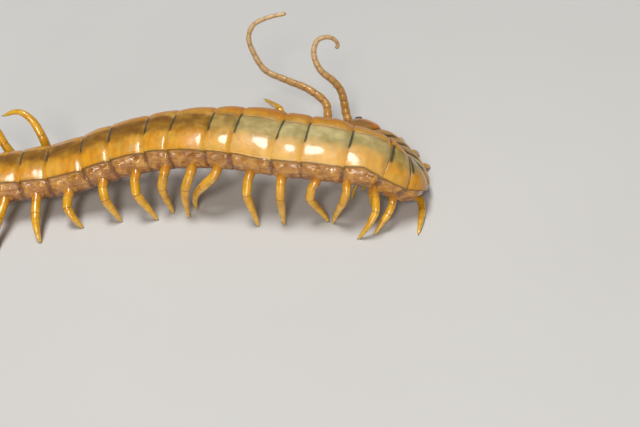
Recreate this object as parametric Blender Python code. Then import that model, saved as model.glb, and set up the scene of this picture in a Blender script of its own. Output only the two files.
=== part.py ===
# Giant banded centipede: a still, life-size museum model of the living animal.
# Its trunk runs along the floor, rises over a low arch, and turns back on itself at the front end.
# Lengths are in millimetres until a mesh is made, +Z is up, and every foot stands on z = 0.

import math

import bpy
import numpy as np

MILLIMETRE = 0.001
GAP = 0.3                       # clearance between two nodes that touch
FLOOR = 0.0

# Trunk, from the first leg-bearing segment behind the head to the last
PLATE_LENGTHS = (2.8, 2.1, 2.9, 2.5, 2.9, 2.6, 4.6, 5.6, 3.6, 5.8, 3.7,
                 5.1, 3.8, 5.1, 4.1, 5.5, 3.9, 5.0, 4.0, 4.4, 4.2)
SEGMENTS = len(PLATE_LENGTHS)
SEGMENTS_PER_NODE = 3
# Full width and height of the trunk by the distance behind the head
WIDTH_AT = ((0.0, 6.2), (6.0, 6.6), (10.0, 6.9), (14.0, 7.6), (18.0, 8.8), (26.0, 9.5), (36.0, 9.5), (50.0, 9.2),
            (62.0, 8.8), (72.0, 8.2), (86.0, 7.2))
HEIGHT_AT = ((0.0, 4.1), (8.0, 4.4), (14.0, 5.3), (24.0, 5.9), (36.0, 6.0), (50.0, 5.9), (62.0, 5.6), (74.0, 5.2),
             (86.0, 4.6))
# The left half is drawn in on the inside of the turn
LEFT_SHARE_AT = ((0.0, 1.0), (4.0, 0.95), (8.0, 0.85), (11.0, 0.78), (14.0, 0.81), (18.0, 0.94), (22.0, 1.0))
PLATE_STEP = 0.28               # how far a back plate stands over the front of the next one
SOCKET_BULGE = 0.22             # swelling of the flank round each leg root

# Half of the trunk's section from the back to the belly: share of half width, share of height
SECTION = ((0.00, 1.00), (0.42, 0.975), (0.78, 0.90), (1.00, 0.77), (0.92, 0.70),
           (0.97, 0.50), (0.90, 0.27), (0.70, 0.07), (0.42, 0.00), (0.00, 0.00))
PLATE_POINTS = 4                # the first points of the section lie on the back plate

# The middle of the trunk, from the head's rear edge to the tail. Behind the head it goes through a tight turn.
ROUTE_NECK = ((8.1, 11.1, 3.2), (9.5, 9.4, 3.3))
ROUTE_TURN = ((10.8, 7.0, 3.3), (11.6, 4.9, 3.35), (11.9, 2.75, 3.6), (11.45, 0.8, 4.55), (10.45, 0.1, 5.8))
ROUTE_ARCH = ((8.3, 0.25, 7.65), (3.6, 1.35, 8.75), (0.9, 2.05, 9.1), (-4.1, 3.35, 9.45), (-9.3, 5.25, 9.65),
              (-16.6, 7.05, 9.35), (-21.35, 8.0, 8.6), (-27.45, 8.25, 7.4))
ROUTE_REAR = ((-32.6, 8.3, 5.85), (-36.1, 8.3, 5.2), (-42.3, 8.15, 4.9), (-44.9, 8.15, 4.65), (-47.0, 8.25, 4.4),
              (-52.1, 8.85, 3.7), (-58.1, 9.7, 3.2), (-64.0, 10.7, 3.05))
# How far the trunk's right side is rolled down, by the distance behind the head
ROLL_AT = ((0.0, 18.0), (4.0, 30.0), (8.0, 42.0), (11.0, 44.0), (14.0, 18.0), (18.0, 0.0), (22.0, 6.0), (26.0, 6.0),
           (32.0, 9.0), (40.0, 4.0), (50.0, -1.0), (60.0, -2.0), (72.0, -6.0), (88.0, -6.0))

CENTRE = (-31.465, 11.035)       # the middle of the box round the whole animal, set on the origin


def to_metres(point):
    return ((point[0] - CENTRE[0]) * MILLIMETRE, (point[1] - CENTRE[1]) * MILLIMETRE, point[2] * MILLIMETRE)


def unit(vector):
    vector = np.asarray(vector, float)
    return vector / np.linalg.norm(vector)


def smooth_curve(points, steps=24):
    """A centripetal spline through the points, as a dense list."""
    points = [np.asarray(p, float) for p in points]
    padded = [2 * points[0] - points[1]] + points + [2 * points[-1] - points[-2]]
    curve = []
    for before, start, end, after in zip(padded, padded[1:], padded[2:], padded[3:]):
        gaps = [max(1e-6, np.linalg.norm(b - a) ** 0.5) for a, b in ((before, start), (start, end), (end, after))]
        t0, t1, t2, t3 = 0.0, gaps[0], gaps[0] + gaps[1], sum(gaps)
        for step in range(steps):
            t = t1 + (t2 - t1) * step / steps
            a1 = before * (t1 - t) / (t1 - t0) + start * (t - t0) / (t1 - t0)
            a2 = start * (t2 - t) / (t2 - t1) + end * (t - t1) / (t2 - t1)
            a3 = end * (t3 - t) / (t3 - t2) + after * (t - t2) / (t3 - t2)
            b1 = a1 * (t2 - t) / (t2 - t0) + a2 * (t - t0) / (t2 - t0)
            b2 = a2 * (t3 - t) / (t3 - t1) + a3 * (t - t1) / (t3 - t1)
            curve.append(b1 * (t2 - t) / (t2 - t1) + b2 * (t - t1) / (t2 - t1))
    curve.append(points[-1])
    return np.array(curve)


class Path:
    """A smooth curve that is read by the distance along it."""

    def __init__(self, points):
        self.points = smooth_curve(points)
        steps = np.linalg.norm(np.diff(self.points, axis=0), axis=1)
        self.distance = np.concatenate(([0.0], np.cumsum(steps)))
        self.length = self.distance[-1]

    def point(self, along):
        return np.array([np.interp(along, self.distance, self.points[:, axis]) for axis in range(3)])

    def direction(self, along, reach=0.6):
        low = max(0.0, along - reach)
        high = min(self.length, along + reach)
        return unit(self.point(high) - self.point(low))


TRUNK = Path((*ROUTE_NECK, *ROUTE_TURN, *ROUTE_ARCH, *ROUTE_REAR))
PLATE_ENDS = np.concatenate(([0.0], np.cumsum(PLATE_LENGTHS)))
TRUNK_LENGTH = PLATE_ENDS[-1]


def trunk_frame(along):
    """Middle of the trunk there, and the animal's forward, right and up directions."""
    forward = -TRUNK.direction(along, reach=1.6)
    right = unit(np.cross(forward, (0.0, 0.0, 1.0)))
    up = np.cross(right, forward)
    distances, angles = zip(*ROLL_AT)
    roll = math.radians(np.interp(along, distances, angles))
    rolled_up = up * math.cos(roll) + right * math.sin(roll)
    rolled_right = right * math.cos(roll) - up * math.sin(roll)
    return TRUNK.point(along), forward, rolled_right, rolled_up


def at(pairs, place):
    """A value read from a short list of places and values."""
    places, values = zip(*pairs)
    return float(np.interp(place, places, values))


def section_ring(along, plate_drop, flank_swell):
    """Offsets right and up of one ring round the trunk."""
    half_width = at(WIDTH_AT, along) / 2
    height = at(HEIGHT_AT, along)
    left_share = at(LEFT_SHARE_AT, along)
    half = []
    for number, (out, level) in enumerate(SECTION):
        across = out * half_width
        lift = (level - 0.5) * height
        if number < PLATE_POINTS:
            lift -= plate_drop
            across -= plate_drop * out * 0.8
        elif 4 < number < 8:
            across += flank_swell
        half.append((across, lift))
    left = [(-across * left_share, lift) for across, lift in half[-2:0:-1]]
    return half + left


def place_ring(ring, middle, right, up):
    return [middle + right * across + up * lift for across, lift in ring]


def loft(rings, tip=None):
    """Vertices and faces of a closed tube through rings of equal count, each seen clockwise from its front."""
    count = len(rings[0])
    vertices = [tuple(point) for ring in rings for point in ring]
    faces = []
    for row in range(len(rings) - 1):
        for corner in range(count):
            after = (corner + 1) % count
            low, high = row * count, (row + 1) * count
            faces.append((low + corner, high + corner, high + after))
            faces.append((low + corner, high + after, low + after))
    vertices.append(tuple(np.mean(rings[0], axis=0)))
    first = len(vertices) - 1
    vertices.append(tuple(np.mean(rings[-1], axis=0) if tip is None else tip))
    last = len(vertices) - 1
    end = (len(rings) - 1) * count
    for corner in range(count):
        after = (corner + 1) % count
        faces.append((first, corner, after))
        faces.append((last, end + after, end + corner))
    return vertices, faces


def signed_volume(vertices, faces):
    points = np.array(vertices)
    a, b, c = (points[[face[k] for face in faces]] for k in range(3))
    return float(np.einsum("ij,ij->i", a, np.cross(b, c)).sum() / 6)


def material(name, colour, roughness, coat=0.6):
    made = bpy.data.materials.new(name)
    made.use_nodes = True
    shader = made.node_tree.nodes["Principled BSDF"]
    shader.inputs["Base Color"].default_value = (*colour, 1.0)
    shader.inputs["Roughness"].default_value = roughness
    shader.inputs["Metallic"].default_value = 0.0
    shader.inputs["Coat Weight"].default_value = coat
    return made


def mesh_object(name, vertices, faces, finish):
    if signed_volume(vertices, faces) < 0:
        faces = [face[::-1] for face in faces]
    mesh = bpy.data.meshes.new(name)
    mesh.from_pydata([to_metres(vertex) for vertex in vertices], [], faces)
    mesh.shade_smooth()
    mesh.set_sharp_from_angle(angle=math.radians(50))
    mesh.materials.append(finish)
    made = bpy.data.objects.new(name, mesh)
    bpy.context.scene.collection.objects.link(made)
    made.parent = ANIMAL
    return made


def joined(name, pieces, finish):
    """Closed pieces that grow from one another, joined into one node by a Boolean union."""
    made = mesh_object(name, *pieces[0], finish)
    growths = bpy.data.collections.new(name + "_growths")
    for number, (vertices, faces) in enumerate(pieces[1:]):
        growth = mesh_object(f"{name}_growth_{number}", vertices, faces, finish)
        growths.objects.link(growth)
    union = made.modifiers.new("union", "BOOLEAN")
    union.operation = "UNION"
    union.operand_type = "COLLECTION"
    union.collection = growths
    union.solver = "EXACT"
    evaluated = made.evaluated_get(bpy.context.evaluated_depsgraph_get())
    mesh = bpy.data.meshes.new_from_object(evaluated)
    made.modifiers.clear()
    made.data = mesh
    for growth in list(growths.objects):
        bpy.data.objects.remove(growth)
    bpy.data.collections.remove(growths)
    return made


def trunk_node(first, last, finish):
    """Segments first to last, counted from 1, with their back plates stepped one over the next."""
    rings = []
    for number in range(first, last + 1):
        front = PLATE_ENDS[number - 1] + (GAP / 2 if number == first else 0.0)
        rear = PLATE_ENDS[number] - (GAP / 2 if number == last else 0.0)
        marks = ((0.0, PLATE_STEP, 0.0), (0.12, 0.06, 0.0), (0.5, 0.0, SOCKET_BULGE), (0.84, 0.0, 0.05),
                 (0.94, 0.05, 0.0))
        rings += [(front + share * (rear - front), drop, swell) for share, drop, swell in marks]
    rings.append((rear, PLATE_STEP, 0.0))
    placed = []
    for along, drop, swell in rings:
        middle, forward, right, up = trunk_frame(along)
        placed.append(place_ring(section_ring(along, drop, swell), middle, right, up))
    vertices, faces = loft(placed)
    return mesh_object(f"trunk_segments_{first:02d}_to_{last:02d}", vertices, faces, finish)


def tube(path, radii, sides, floor_tip=False, point_tip=False, flat_start=None):
    """Rings of the given radii at shares of a path's length."""
    rings = []
    side_hint = np.array((0.0, 0.0, 1.0))
    for share, radius in radii:
        along = share * path.length
        forward = path.direction(along, reach=0.3)
        if flat_start is not None and share == radii[0][0]:
            forward = flat_start
        if abs(float(forward @ side_hint)) > 0.97:
            side_hint = np.array((0.0, 1.0, 0.0))
        right = unit(np.cross(forward, side_hint))
        up = np.cross(right, forward)
        side_hint = up
        if floor_tip and share == radii[-1][0]:
            right = unit((right[0], right[1], 0.0)) if abs(right[2]) < 0.9 else np.array((1.0, 0.0, 0.0))
            up = np.cross((0.0, 0.0, -1.0), right) * -1.0
            if float(np.cross(right, up) @ forward) > 0:
                up = -up
        turn = [2 * math.pi * corner / sides for corner in range(sides)]
        ring = [(radius * math.sin(angle), radius * math.cos(angle)) for angle in turn]
        rings.append(place_ring(ring, path.point(along), right, up))
    tip = path.point(path.length) if point_tip else None
    return loft(rings, tip)


# Legs: share of the leg's length and radius at its joints and half way along each article
LEG_RADII = ((0.0, 0.72), (0.09, 0.66), (0.13, 0.70), (0.25, 0.74), (0.37, 0.61), (0.48, 0.64), (0.59, 0.50),
             (0.70, 0.50), (0.80, 0.38), (0.91, 0.32), (1.0, 0.22))
LEG_SIDES = 7
# Where each leg grows along its segment, from the segment's front edge
ROOT_SHARE = ((3, 0.50), (4, 1.0), (5, 1.0), (6, 0.86), (7, 0.84), (8, 0.60), (9, 0.66), (10, 0.49), (11, 0.61),
              (12, 0.44), (13, 0.30), (14, 0.44), (15, 0.53), (16, 0.56), (18, 0.51), (20, 0.50))
ROOT_CORNER = 6                 # the corner of the section that a leg grows from
OUTER_ROOT_CORNERS = {1: 5, 2: 5, 3: 5, 4: 6}    # the same for the right legs on the outside of the turn
INNER_ROOT_CORNER = 7           # and for the left legs on its inside
OUTER_LEGS = range(1, 5)
INNER_LEGS = range(2, 7)
LEG_SIZE = ((1, 0.74), (6, 0.82), (9, 1.0), (20, 1.0))
INNER_LEG_SIZE = 0.62
KNEE_REACH = 0.36               # share of the span from root to foot that a leg first runs outward
OUTER_KNEE_REACH = 0.18
SHIN_RISE = 0.50                # how steeply its last part comes down to the floor

# Where the right feet stand on the floor, and how far back each leg bows on its way down
RIGHT_FEET = {1: (13.0, 14.6, -0.2), 2: (14.8, 11.4, -0.2), 3: (16.0, 8.2, -0.2), 4: (12.7, -6.4, 0.0),
              5: (7.0, -5.6, -0.9), 6: (4.7, -6.2, -2.1), 7: (1.6, -2.5, -0.9), 8: (1.1, -2.0, 1.9),
              9: (-5.0, -1.8, 0.0), 10: (-8.4, -1.6, 0.8), 11: (-16.9, 3.2, 0.9), 12: (-17.9, 1.7, 0.7),
              13: (-20.1, 2.9, 1.1), 14: (-22.2, 1.7, 1.6), 15: (-27.2, 2.0, 1.1), 16: (-32.5, 1.4, 1.3),
              17: (-38.0, -1.1, 0.4), 18: (-43.6, -2.2, 0.8), 19: (-50.0, -2.0, 0.6), 20: (-56.4, -1.4, 0.5)}
# The left feet inside and behind the turn. The rest keep one length of leg and follow a slow wave of the stride.
LEFT_FEET = {1: (3.9, 7.4, 0.0), 2: (5.4, 5.9, 0.0), 3: (6.2, 4.2, 0.0), 4: (6.9, 2.4, 0.0), 5: (7.0, 0.6, 0.0),
             6: (4.6, 2.6, 0.0), 7: (2.9, 8.6, 0.2), 8: (0.8, 10.4, 0.2), 9: (-2.8, 12.2, 0.4)}
LEFT_SPAN = 9.2
LEFT_REACH = (2.6, 6.6)         # least and most
# These left legs are held off the floor: the places that they pass through after their roots
RAISED_LEFT = {10: ((-4.1, 10.2, 10.6), (-4.9, 12.2, 10.1), (-5.8, 14.0, 9.7), (-6.4, 15.0, 9.5)),
               17: ((-38.0, 13.8, 6.5), (-38.5, 14.5, 8.3), (-39.8, 15.2, 10.4), (-40.8, 15.8, 10.7),
                    (-43.6, 16.6, 9.5)),
               18: ((-43.5, 13.7, 5.9), (-44.0, 14.5, 7.4), (-45.1, 15.4, 9.1), (-47.3, 16.4, 8.7),
                    (-48.9, 17.0, 7.4))}
RAISED_ROOT_SHARE = 0.25


def leg_root(number, side):
    """Point on the flank, and the direction in which a leg leaves it. side is 1 on the right, -1 on the left."""
    inner = side < 0 and number in INNER_LEGS
    outer = side > 0 and number in OUTER_LEGS
    share = at(ROOT_SHARE, number)
    if inner:
        share = 0.5
    elif side < 0 and number in RAISED_LEFT:
        share = RAISED_ROOT_SHARE
    along = PLATE_ENDS[number - 1] + share * PLATE_LENGTHS[number - 1]
    middle, forward, right, up = trunk_frame(along)
    corner = INNER_ROOT_CORNER if inner else OUTER_ROOT_CORNERS[number] if outer else ROOT_CORNER
    across, lift = section_ring(along, 0.0, SOCKET_BULGE)[corner]
    if side < 0:
        across *= at(LEFT_SHARE_AT, along)
    leave = unit(right * side * 0.85 - up * 0.53)
    if inner:
        leave = unit(right * side * 0.25 - up)
    elif outer:
        leave = unit(right * 0.84 + up * 0.54)
    return middle + right * side * across + up * lift, leave, forward


def left_foot(number, root, leave, forward):
    if number in LEFT_FEET:
        x, y, bow = LEFT_FEET[number]
        return np.array((x, y, FLOOR)), bow
    wave = math.sin(number * 2 * math.pi / 7.0)
    flat_out = unit((leave[0], leave[1], 0.0))
    reach = min(LEFT_REACH[1], math.sqrt(max(LEFT_REACH[0] ** 2, LEFT_SPAN ** 2 - root[2] ** 2)))
    return root + flat_out * reach + forward * 1.6 * wave, 0.7


def bezier(controls, steps=12):
    start, first, second, end = (np.asarray(point, float) for point in controls)
    points = []
    for step in range(steps + 1):
        t = step / steps
        points.append(start * (1 - t) ** 3 + first * 3 * t * (1 - t) ** 2 + second * 3 * t * t * (1 - t) + end * t ** 3)
    return points


def leg_path(number, side):
    skin, leave, forward = leg_root(number, side)
    root = skin + leave * GAP
    if side > 0:
        x, y, bow = RIGHT_FEET[number]
        foot = np.array((x, y, FLOOR))
    else:
        foot, bow = left_foot(number, root, leave, forward)
        foot[2] = FLOOR
    flat_forward = unit((forward[0], forward[1], 0.0))
    span = np.linalg.norm(foot - root)
    reach = OUTER_KNEE_REACH if side > 0 and number in OUTER_LEGS else KNEE_REACH
    knee = root + leave * reach * span - flat_forward * bow
    shin = foot + np.array((0.0, 0.0, SHIN_RISE * root[2])) + (root - foot) * 0.08 - flat_forward * bow
    return Path(bezier((root, knee, shin, foot))), leave


def walking_leg(number, side, finish):
    name = f"leg_{number:02d}_{'right' if side > 0 else 'left'}"
    size = INNER_LEG_SIZE if side < 0 and number in INNER_LEGS else at(LEG_SIZE, number)
    radii = [(share, radius * size) for share, radius in LEG_RADII]
    if side < 0 and number in RAISED_LEFT:
        skin, leave, forward = leg_root(number, side)
        root = skin + leave * GAP
        path = Path((root, root + leave * 0.5, *RAISED_LEFT[number]))
        return mesh_object(name, *tube(path, radii, LEG_SIDES, flat_start=leave), finish)
    path, leave = leg_path(number, side)
    return mesh_object(name, *tube(path, radii, LEG_SIDES, floor_tip=True, flat_start=leave), finish)


# Last legs, trailed behind and longer than the rest
TAIL_LEG_LENGTHS = (5.6, 5.0, 4.4, 3.4, 2.2)
TAIL_LEG_RADII = ((0.0, 0.80), (0.06, 0.86), (0.16, 0.98), (0.27, 0.80), (0.38, 0.84), (0.50, 0.66), (0.61, 0.66),
                  (0.72, 0.50), (0.82, 0.46), (0.90, 0.34), (0.97, 0.26), (1.0, 0.18))
TAIL_LEG_SPREAD = 17            # degrees out from the body's line
TAIL_LEG_RISE = 2.1
TAIL_LEG_ROOT_OUT = 2.2


def tail_leg(side, finish):
    middle, forward, right, up = trunk_frame(TRUNK_LENGTH)
    root = middle - forward * (GAP * 1.5) + right * side * TAIL_LEG_ROOT_OUT - up * 0.3
    spread = math.radians(TAIL_LEG_SPREAD)
    away = unit(-forward * math.cos(spread) + right * side * math.sin(spread))
    away = unit((away[0], away[1], 0.0))
    curl = right * side
    reach = sum(TAIL_LEG_LENGTHS)
    points = [root, root - forward * 0.9]
    for share, lift, bend in ((0.28, 1.0, 0.9), (0.55, 0.9, 1.1), (0.8, 0.4, 0.6), (0.95, -0.35, 0.1)):
        points.append(root + away * reach * share + curl * bend + np.array((0, 0, TAIL_LEG_RISE * lift)))
    tip = root + away * reach
    tip[2] = FLOOR
    points.append(tip)
    name = f"last_leg_{'right' if side > 0 else 'left'}"
    path = Path(points)
    return mesh_object(name, *tube(path, TAIL_LEG_RADII, LEG_SIDES, floor_tip=True, flat_start=-forward), finish)


# Head: distance from its rear edge, half width, height of its top and underside over the neck's middle
HEAD_LENGTH = 5.2
HEAD_RINGS = ((0.00, 2.15, 1.75, -0.55), (0.10, 2.45, 1.95, -0.65), (0.30, 2.70, 2.05, -0.75),
              (0.52, 2.72, 2.02, -0.80), (0.72, 2.45, 1.80, -0.75), (0.87, 1.95, 1.45, -0.60),
              (0.96, 1.30, 1.05, -0.30), (1.00, 0.70, 0.75, 0.00))
HEAD_CORNERS = 18
HEAD_SQUARENESS = 2.5           # 2 gives an ellipse, more a squarer section
HEAD_SCALE = 1.12
HEAD_DIP = 2.0                  # degrees that the head looks down
HEAD_ROLL = 10.0                # degrees that its right side is rolled down


def head_frame():
    middle, forward, right, up = trunk_frame(0.0)
    forward = -TRUNK.direction(0.0, reach=0.8)
    right = unit(np.cross(forward, (0.0, 0.0, 1.0)))
    up = np.cross(right, forward)
    dip = math.radians(HEAD_DIP)
    ahead = forward * math.cos(dip) - up * math.sin(dip)
    level = np.cross(right, ahead)
    roll = math.radians(HEAD_ROLL)
    rolled_right = right * math.cos(roll) - level * math.sin(roll)
    return middle + ahead * GAP, ahead, rolled_right, np.cross(rolled_right, ahead)


def on_head(across, ahead, lift):
    """A place given from the middle of the head's rear edge."""
    origin, forward, right, up = head_frame()
    return origin + (right * across + forward * ahead + up * lift) * HEAD_SCALE


def head_outline(share):
    """Half width, top and underside of the head at a share of its length."""
    shares, widths, tops, undersides = zip(*HEAD_RINGS)
    return [float(np.interp(share, shares, values)) for values in (widths, tops, undersides)]


def rounded_ring(half_width, top, underside, corners, squareness):
    half_height = (top - underside) / 2
    ring = []
    for corner in range(corners):
        angle = 2 * math.pi * corner / corners
        sine, cosine = math.sin(angle), math.cos(angle)
        across = math.copysign(abs(sine) ** (2 / squareness), sine) * half_width
        lift = math.copysign(abs(cosine) ** (2 / squareness), cosine) * half_height
        ring.append((across, lift + (top + underside) / 2))
    return ring


def lofted_head_piece(rings, length, corners, squareness):
    placed = []
    for share, half_width, top, underside in rings:
        ring = rounded_ring(half_width, top, underside, corners, squareness)
        placed.append([on_head(across, share * length, lift) for across, lift in ring])
    return loft(placed)


def head_node(finish):
    return mesh_object("head", *lofted_head_piece(HEAD_RINGS, HEAD_LENGTH, HEAD_CORNERS, HEAD_SQUARENESS), finish)


# Forcipule plate: the broad plate under the head that carries the two venom claws
PLATE_RINGS = ((-0.02, 1.9, -1.35, -2.15), (0.15, 2.30, -1.20, -2.35), (0.45, 2.35, -1.15, -2.35),
               (0.68, 1.75, -1.15, -2.15), (0.80, 1.20, -1.20, -1.85))


def forcipule_plate(finish):
    vertices, faces = lofted_head_piece(PLATE_RINGS, HEAD_LENGTH, 12, 3.0)
    return mesh_object("forcipule_plate", vertices, faces, finish)


# Forcipules: curved venom claws from the sides of that plate to a point under the front of the head
FORCIPULE_ROUTE = ((3.2, 0.9, -1.45), (3.4, 1.6, -1.35), (3.4, 2.9, -1.20), (2.85, 4.3, -1.10),
                   (1.85, 5.2, -1.15), (0.62, 5.62, -1.3))
FORCIPULE_RADII = ((0.0, 0.74), (0.12, 0.84), (0.28, 0.86), (0.42, 0.74), (0.55, 0.65), (0.68, 0.52), (0.80, 0.40),
                   (0.92, 0.22))


def forcipule(side, finish):
    points = [on_head(across * side, ahead, lift) for across, ahead, lift in FORCIPULE_ROUTE]
    path = Path(points)
    name = f"forcipule_{'right' if side > 0 else 'left'}"
    return mesh_object(name, *tube(path, FORCIPULE_RADII, 8, point_tip=True), finish)


# Mouthparts: the small pad between the claws, under the head
def mouthparts(finish):
    rings = ((0.84, 0.75, -0.85, -1.35), (0.92, 0.85, -0.75, -1.30), (1.0, 0.6, -0.6, -1.15))
    return mesh_object("mouthparts", *lofted_head_piece(rings, HEAD_LENGTH, 8, 2.4), finish)


# Eyes: a cluster of four small lenses on each side of the head, behind the antenna
EYE_LENSES = ((0.80, 0.62, 0.28), (0.70, 0.66, 0.30), (0.73, 0.40, 0.27), (0.81, 0.36, 0.24))
LENS_CORNERS = 7


def eye_place(share, lift_share):
    """Point on the side of the head and its outward direction on the right."""
    half_width, top, underside = head_outline(share)
    middle = (top + underside) / 2
    half_height = (top - underside) / 2
    angle = math.radians(90 - 70 * lift_share)
    sine, cosine = math.sin(angle), math.cos(angle)
    across = sine ** (2 / HEAD_SQUARENESS) * half_width
    lift = middle + cosine ** (2 / HEAD_SQUARENESS) * half_height
    return across, share * HEAD_LENGTH, lift


def lens(middle, outward, radius):
    """A low dome with a short root."""
    side = unit(np.cross(outward, (0.3, 0.2, 0.9)))
    other = np.cross(outward, side)
    rings = []
    for height, width in ((0.0, 0.9), (0.35, 1.0), (0.8, 0.86), (1.15, 0.5)):
        turn = [2 * math.pi * corner / LENS_CORNERS for corner in range(LENS_CORNERS)]
        ring = [(radius * width * math.sin(angle), radius * width * math.cos(angle)) for angle in turn]
        rings.append(place_ring(ring, middle + outward * radius * height, side, other))
    return loft(rings, middle + outward * radius * 1.3)


def eye(side, finish):
    origin, forward, right, up = head_frame()
    outward = unit(right * side * 0.86 + up * 0.42 + forward * 0.28)
    pieces = []
    for share, lift_share, radius in EYE_LENSES:
        across, ahead, lift = eye_place(share, lift_share)
        skin = on_head(across * side, ahead, lift)
        pieces.append(lens(skin + outward * GAP, outward, radius))
    middle = np.mean([on_head(eye_place(s, l)[0] * side, *eye_place(s, l)[1:]) for s, l, r in EYE_LENSES], axis=0)
    pad = lens(middle + outward * (GAP + 0.02), outward, 0.52)
    return joined(f"eye_{'right' if side > 0 else 'left'}", [pad] + pieces, finish)


# Antennae, by the places that they pass through after their roots on the front of the head
ANTENNA_ROOT = (1.15, 4.95, 0.75)
RIGHT_ANTENNA = ((4.6, 19.2, 7.0), (3.6, 19.6, 8.6), (2.0, 20.1, 10.1), (1.2, 21.1, 11.6), (1.2, 22.3, 12.7),
                 (1.9, 23.2, 13.5), (3.1, 23.3, 13.8), (4.2, 23.4, 13.3), (4.7, 23.3, 12.4), (4.4, 23.2, 11.8))
LEFT_ANTENNA = ((2.2, 18.6, 5.6), (0.0, 20.4, 7.0), (-3.2, 22.6, 7.6), (-6.2, 24.6, 8.4), (-7.6, 26.0, 10.4),
                (-8.2, 27.0, 12.6), (-7.4, 27.8, 14.2), (-5.4, 28.2, 15.0), (-2.4, 28.4, 15.4))
ANTENNA_ARTICLES = 17
ANTENNA_SIDES = 6
ANTENNA_RADIUS = (0.68, 0.28)


def antenna(side, finish):
    root = on_head(ANTENNA_ROOT[0] * side, *ANTENNA_ROOT[1:])
    origin, forward, right, up = head_frame()
    leave = unit(forward * 0.75 + right * side * 0.35 + up * 0.55)
    root = root + leave * GAP
    points = RIGHT_ANTENNA if side > 0 else LEFT_ANTENNA
    path = Path((root, root + leave * 1.0, *points))
    radii = []
    for article in range(ANTENNA_ARTICLES):
        for inside, swell in ((0.06, 0.86), (0.6, 1.0)):
            share = (article + inside) / ANTENNA_ARTICLES
            radius = np.interp(share, (0, 1), ANTENNA_RADIUS)
            radii.append((share, radius * swell))
    radii.append((1.0, ANTENNA_RADIUS[1] * 0.7))
    name = f"antenna_{'right' if side > 0 else 'left'}"
    return mesh_object(name, *tube(path, radii, ANTENNA_SIDES, flat_start=leave), finish)


for thing in list(bpy.data.objects):
    bpy.data.objects.remove(thing)
ANIMAL = bpy.data.objects.new("centipede", None)
bpy.context.scene.collection.objects.link(ANIMAL)

SHELL = material("shell_olive_amber", (0.50, 0.30, 0.06), 0.28)
HEAD_SHELL = material("head_shell_amber", (0.52, 0.26, 0.05), 0.25)
LEG = material("leg_ochre", (0.72, 0.43, 0.05), 0.30)
ANTENNA = material("antenna_tan", (0.62, 0.42, 0.16), 0.45, 0.2)
CLAW = material("venom_claw_brown", (0.30, 0.10, 0.03), 0.22)
EYE = material("eye_black", (0.01, 0.012, 0.01), 0.08)

for first in range(1, SEGMENTS + 1, SEGMENTS_PER_NODE):
    trunk_node(first, min(SEGMENTS, first + SEGMENTS_PER_NODE - 1), SHELL)
head_node(HEAD_SHELL)
forcipule_plate(HEAD_SHELL)
mouthparts(HEAD_SHELL)
for side in (1, -1):
    for number in range(1, SEGMENTS):
        walking_leg(number, side, LEG)
    tail_leg(side, LEG)
    forcipule(side, CLAW)
    eye(side, EYE)
    antenna(side, ANTENNA)
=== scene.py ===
# Giant banded centipede, a still model of life size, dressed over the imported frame's solids.
# Places are worked out in millimetres, where the solids were drawn, and every mesh is made in metres.
import math
import random

import bpy
import numpy as np
from mathutils import Matrix


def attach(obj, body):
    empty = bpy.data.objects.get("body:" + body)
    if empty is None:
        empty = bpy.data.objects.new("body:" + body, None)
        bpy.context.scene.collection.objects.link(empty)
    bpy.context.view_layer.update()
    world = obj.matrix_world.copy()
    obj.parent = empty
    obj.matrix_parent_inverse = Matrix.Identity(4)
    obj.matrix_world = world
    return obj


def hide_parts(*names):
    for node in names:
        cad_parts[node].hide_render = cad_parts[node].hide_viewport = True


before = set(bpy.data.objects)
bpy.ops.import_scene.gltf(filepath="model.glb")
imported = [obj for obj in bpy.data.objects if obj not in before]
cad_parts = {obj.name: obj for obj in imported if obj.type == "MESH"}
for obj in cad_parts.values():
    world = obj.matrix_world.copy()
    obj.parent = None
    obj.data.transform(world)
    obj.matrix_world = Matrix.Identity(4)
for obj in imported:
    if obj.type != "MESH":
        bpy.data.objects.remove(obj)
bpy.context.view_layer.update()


# The soft skin: the leathery flanks and belly of the trunk, in one piece from the neck to the tail.
# It is creased between segments, folded under the plates, swollen round each leg and pierced by air holes.
# It takes the place of every trunk solid. The trunk climbs a low arch and turns back on itself in front.
MILLIMETRE = 0.001
CENTRE = (-31.465, 11.035)
PLATE_LENGTHS = (2.8, 2.1, 2.9, 2.5, 2.9, 2.6, 4.6, 5.6, 3.6, 5.8, 3.7,
                 5.1, 3.8, 5.1, 4.1, 5.5, 3.9, 5.0, 4.0, 4.4, 4.2)
PLATE_ENDS = np.concatenate(([0.0], np.cumsum(PLATE_LENGTHS)))
SEGMENTS = len(PLATE_LENGTHS)
TRUNK_LENGTH = PLATE_ENDS[-1]
WIDTH_AT = ((0.0, 6.2), (6.0, 6.6), (10.0, 6.9), (14.0, 7.6), (18.0, 8.8), (26.0, 9.5),
            (36.0, 9.5), (50.0, 9.2), (62.0, 8.8), (72.0, 8.2), (86.0, 7.2))
HEIGHT_AT = ((0.0, 4.1), (8.0, 4.4), (14.0, 5.3), (24.0, 5.9), (36.0, 6.0), (50.0, 5.9),
             (62.0, 5.6), (74.0, 5.2), (86.0, 4.6))
LEFT_SHARE_AT = ((0.0, 1.0), (4.0, 0.95), (8.0, 0.85), (11.0, 0.78), (14.0, 0.81), (18.0, 0.94), (22.0, 1.0))
ROLL_AT = ((0.0, 18.0), (4.0, 30.0), (8.0, 42.0), (11.0, 44.0), (14.0, 18.0), (18.0, 0.0), (22.0, 6.0),
           (26.0, 6.0), (32.0, 9.0), (40.0, 4.0), (50.0, -1.0), (60.0, -2.0), (72.0, -6.0), (88.0, -6.0))
ROUTE_NECK = ((8.1, 11.1, 3.2), (9.5, 9.4, 3.3))
ROUTE_TURN = ((10.8, 7.0, 3.3), (11.6, 4.9, 3.35), (11.9, 2.75, 3.6), (11.45, 0.8, 4.55), (10.45, 0.1, 5.8))
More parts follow.
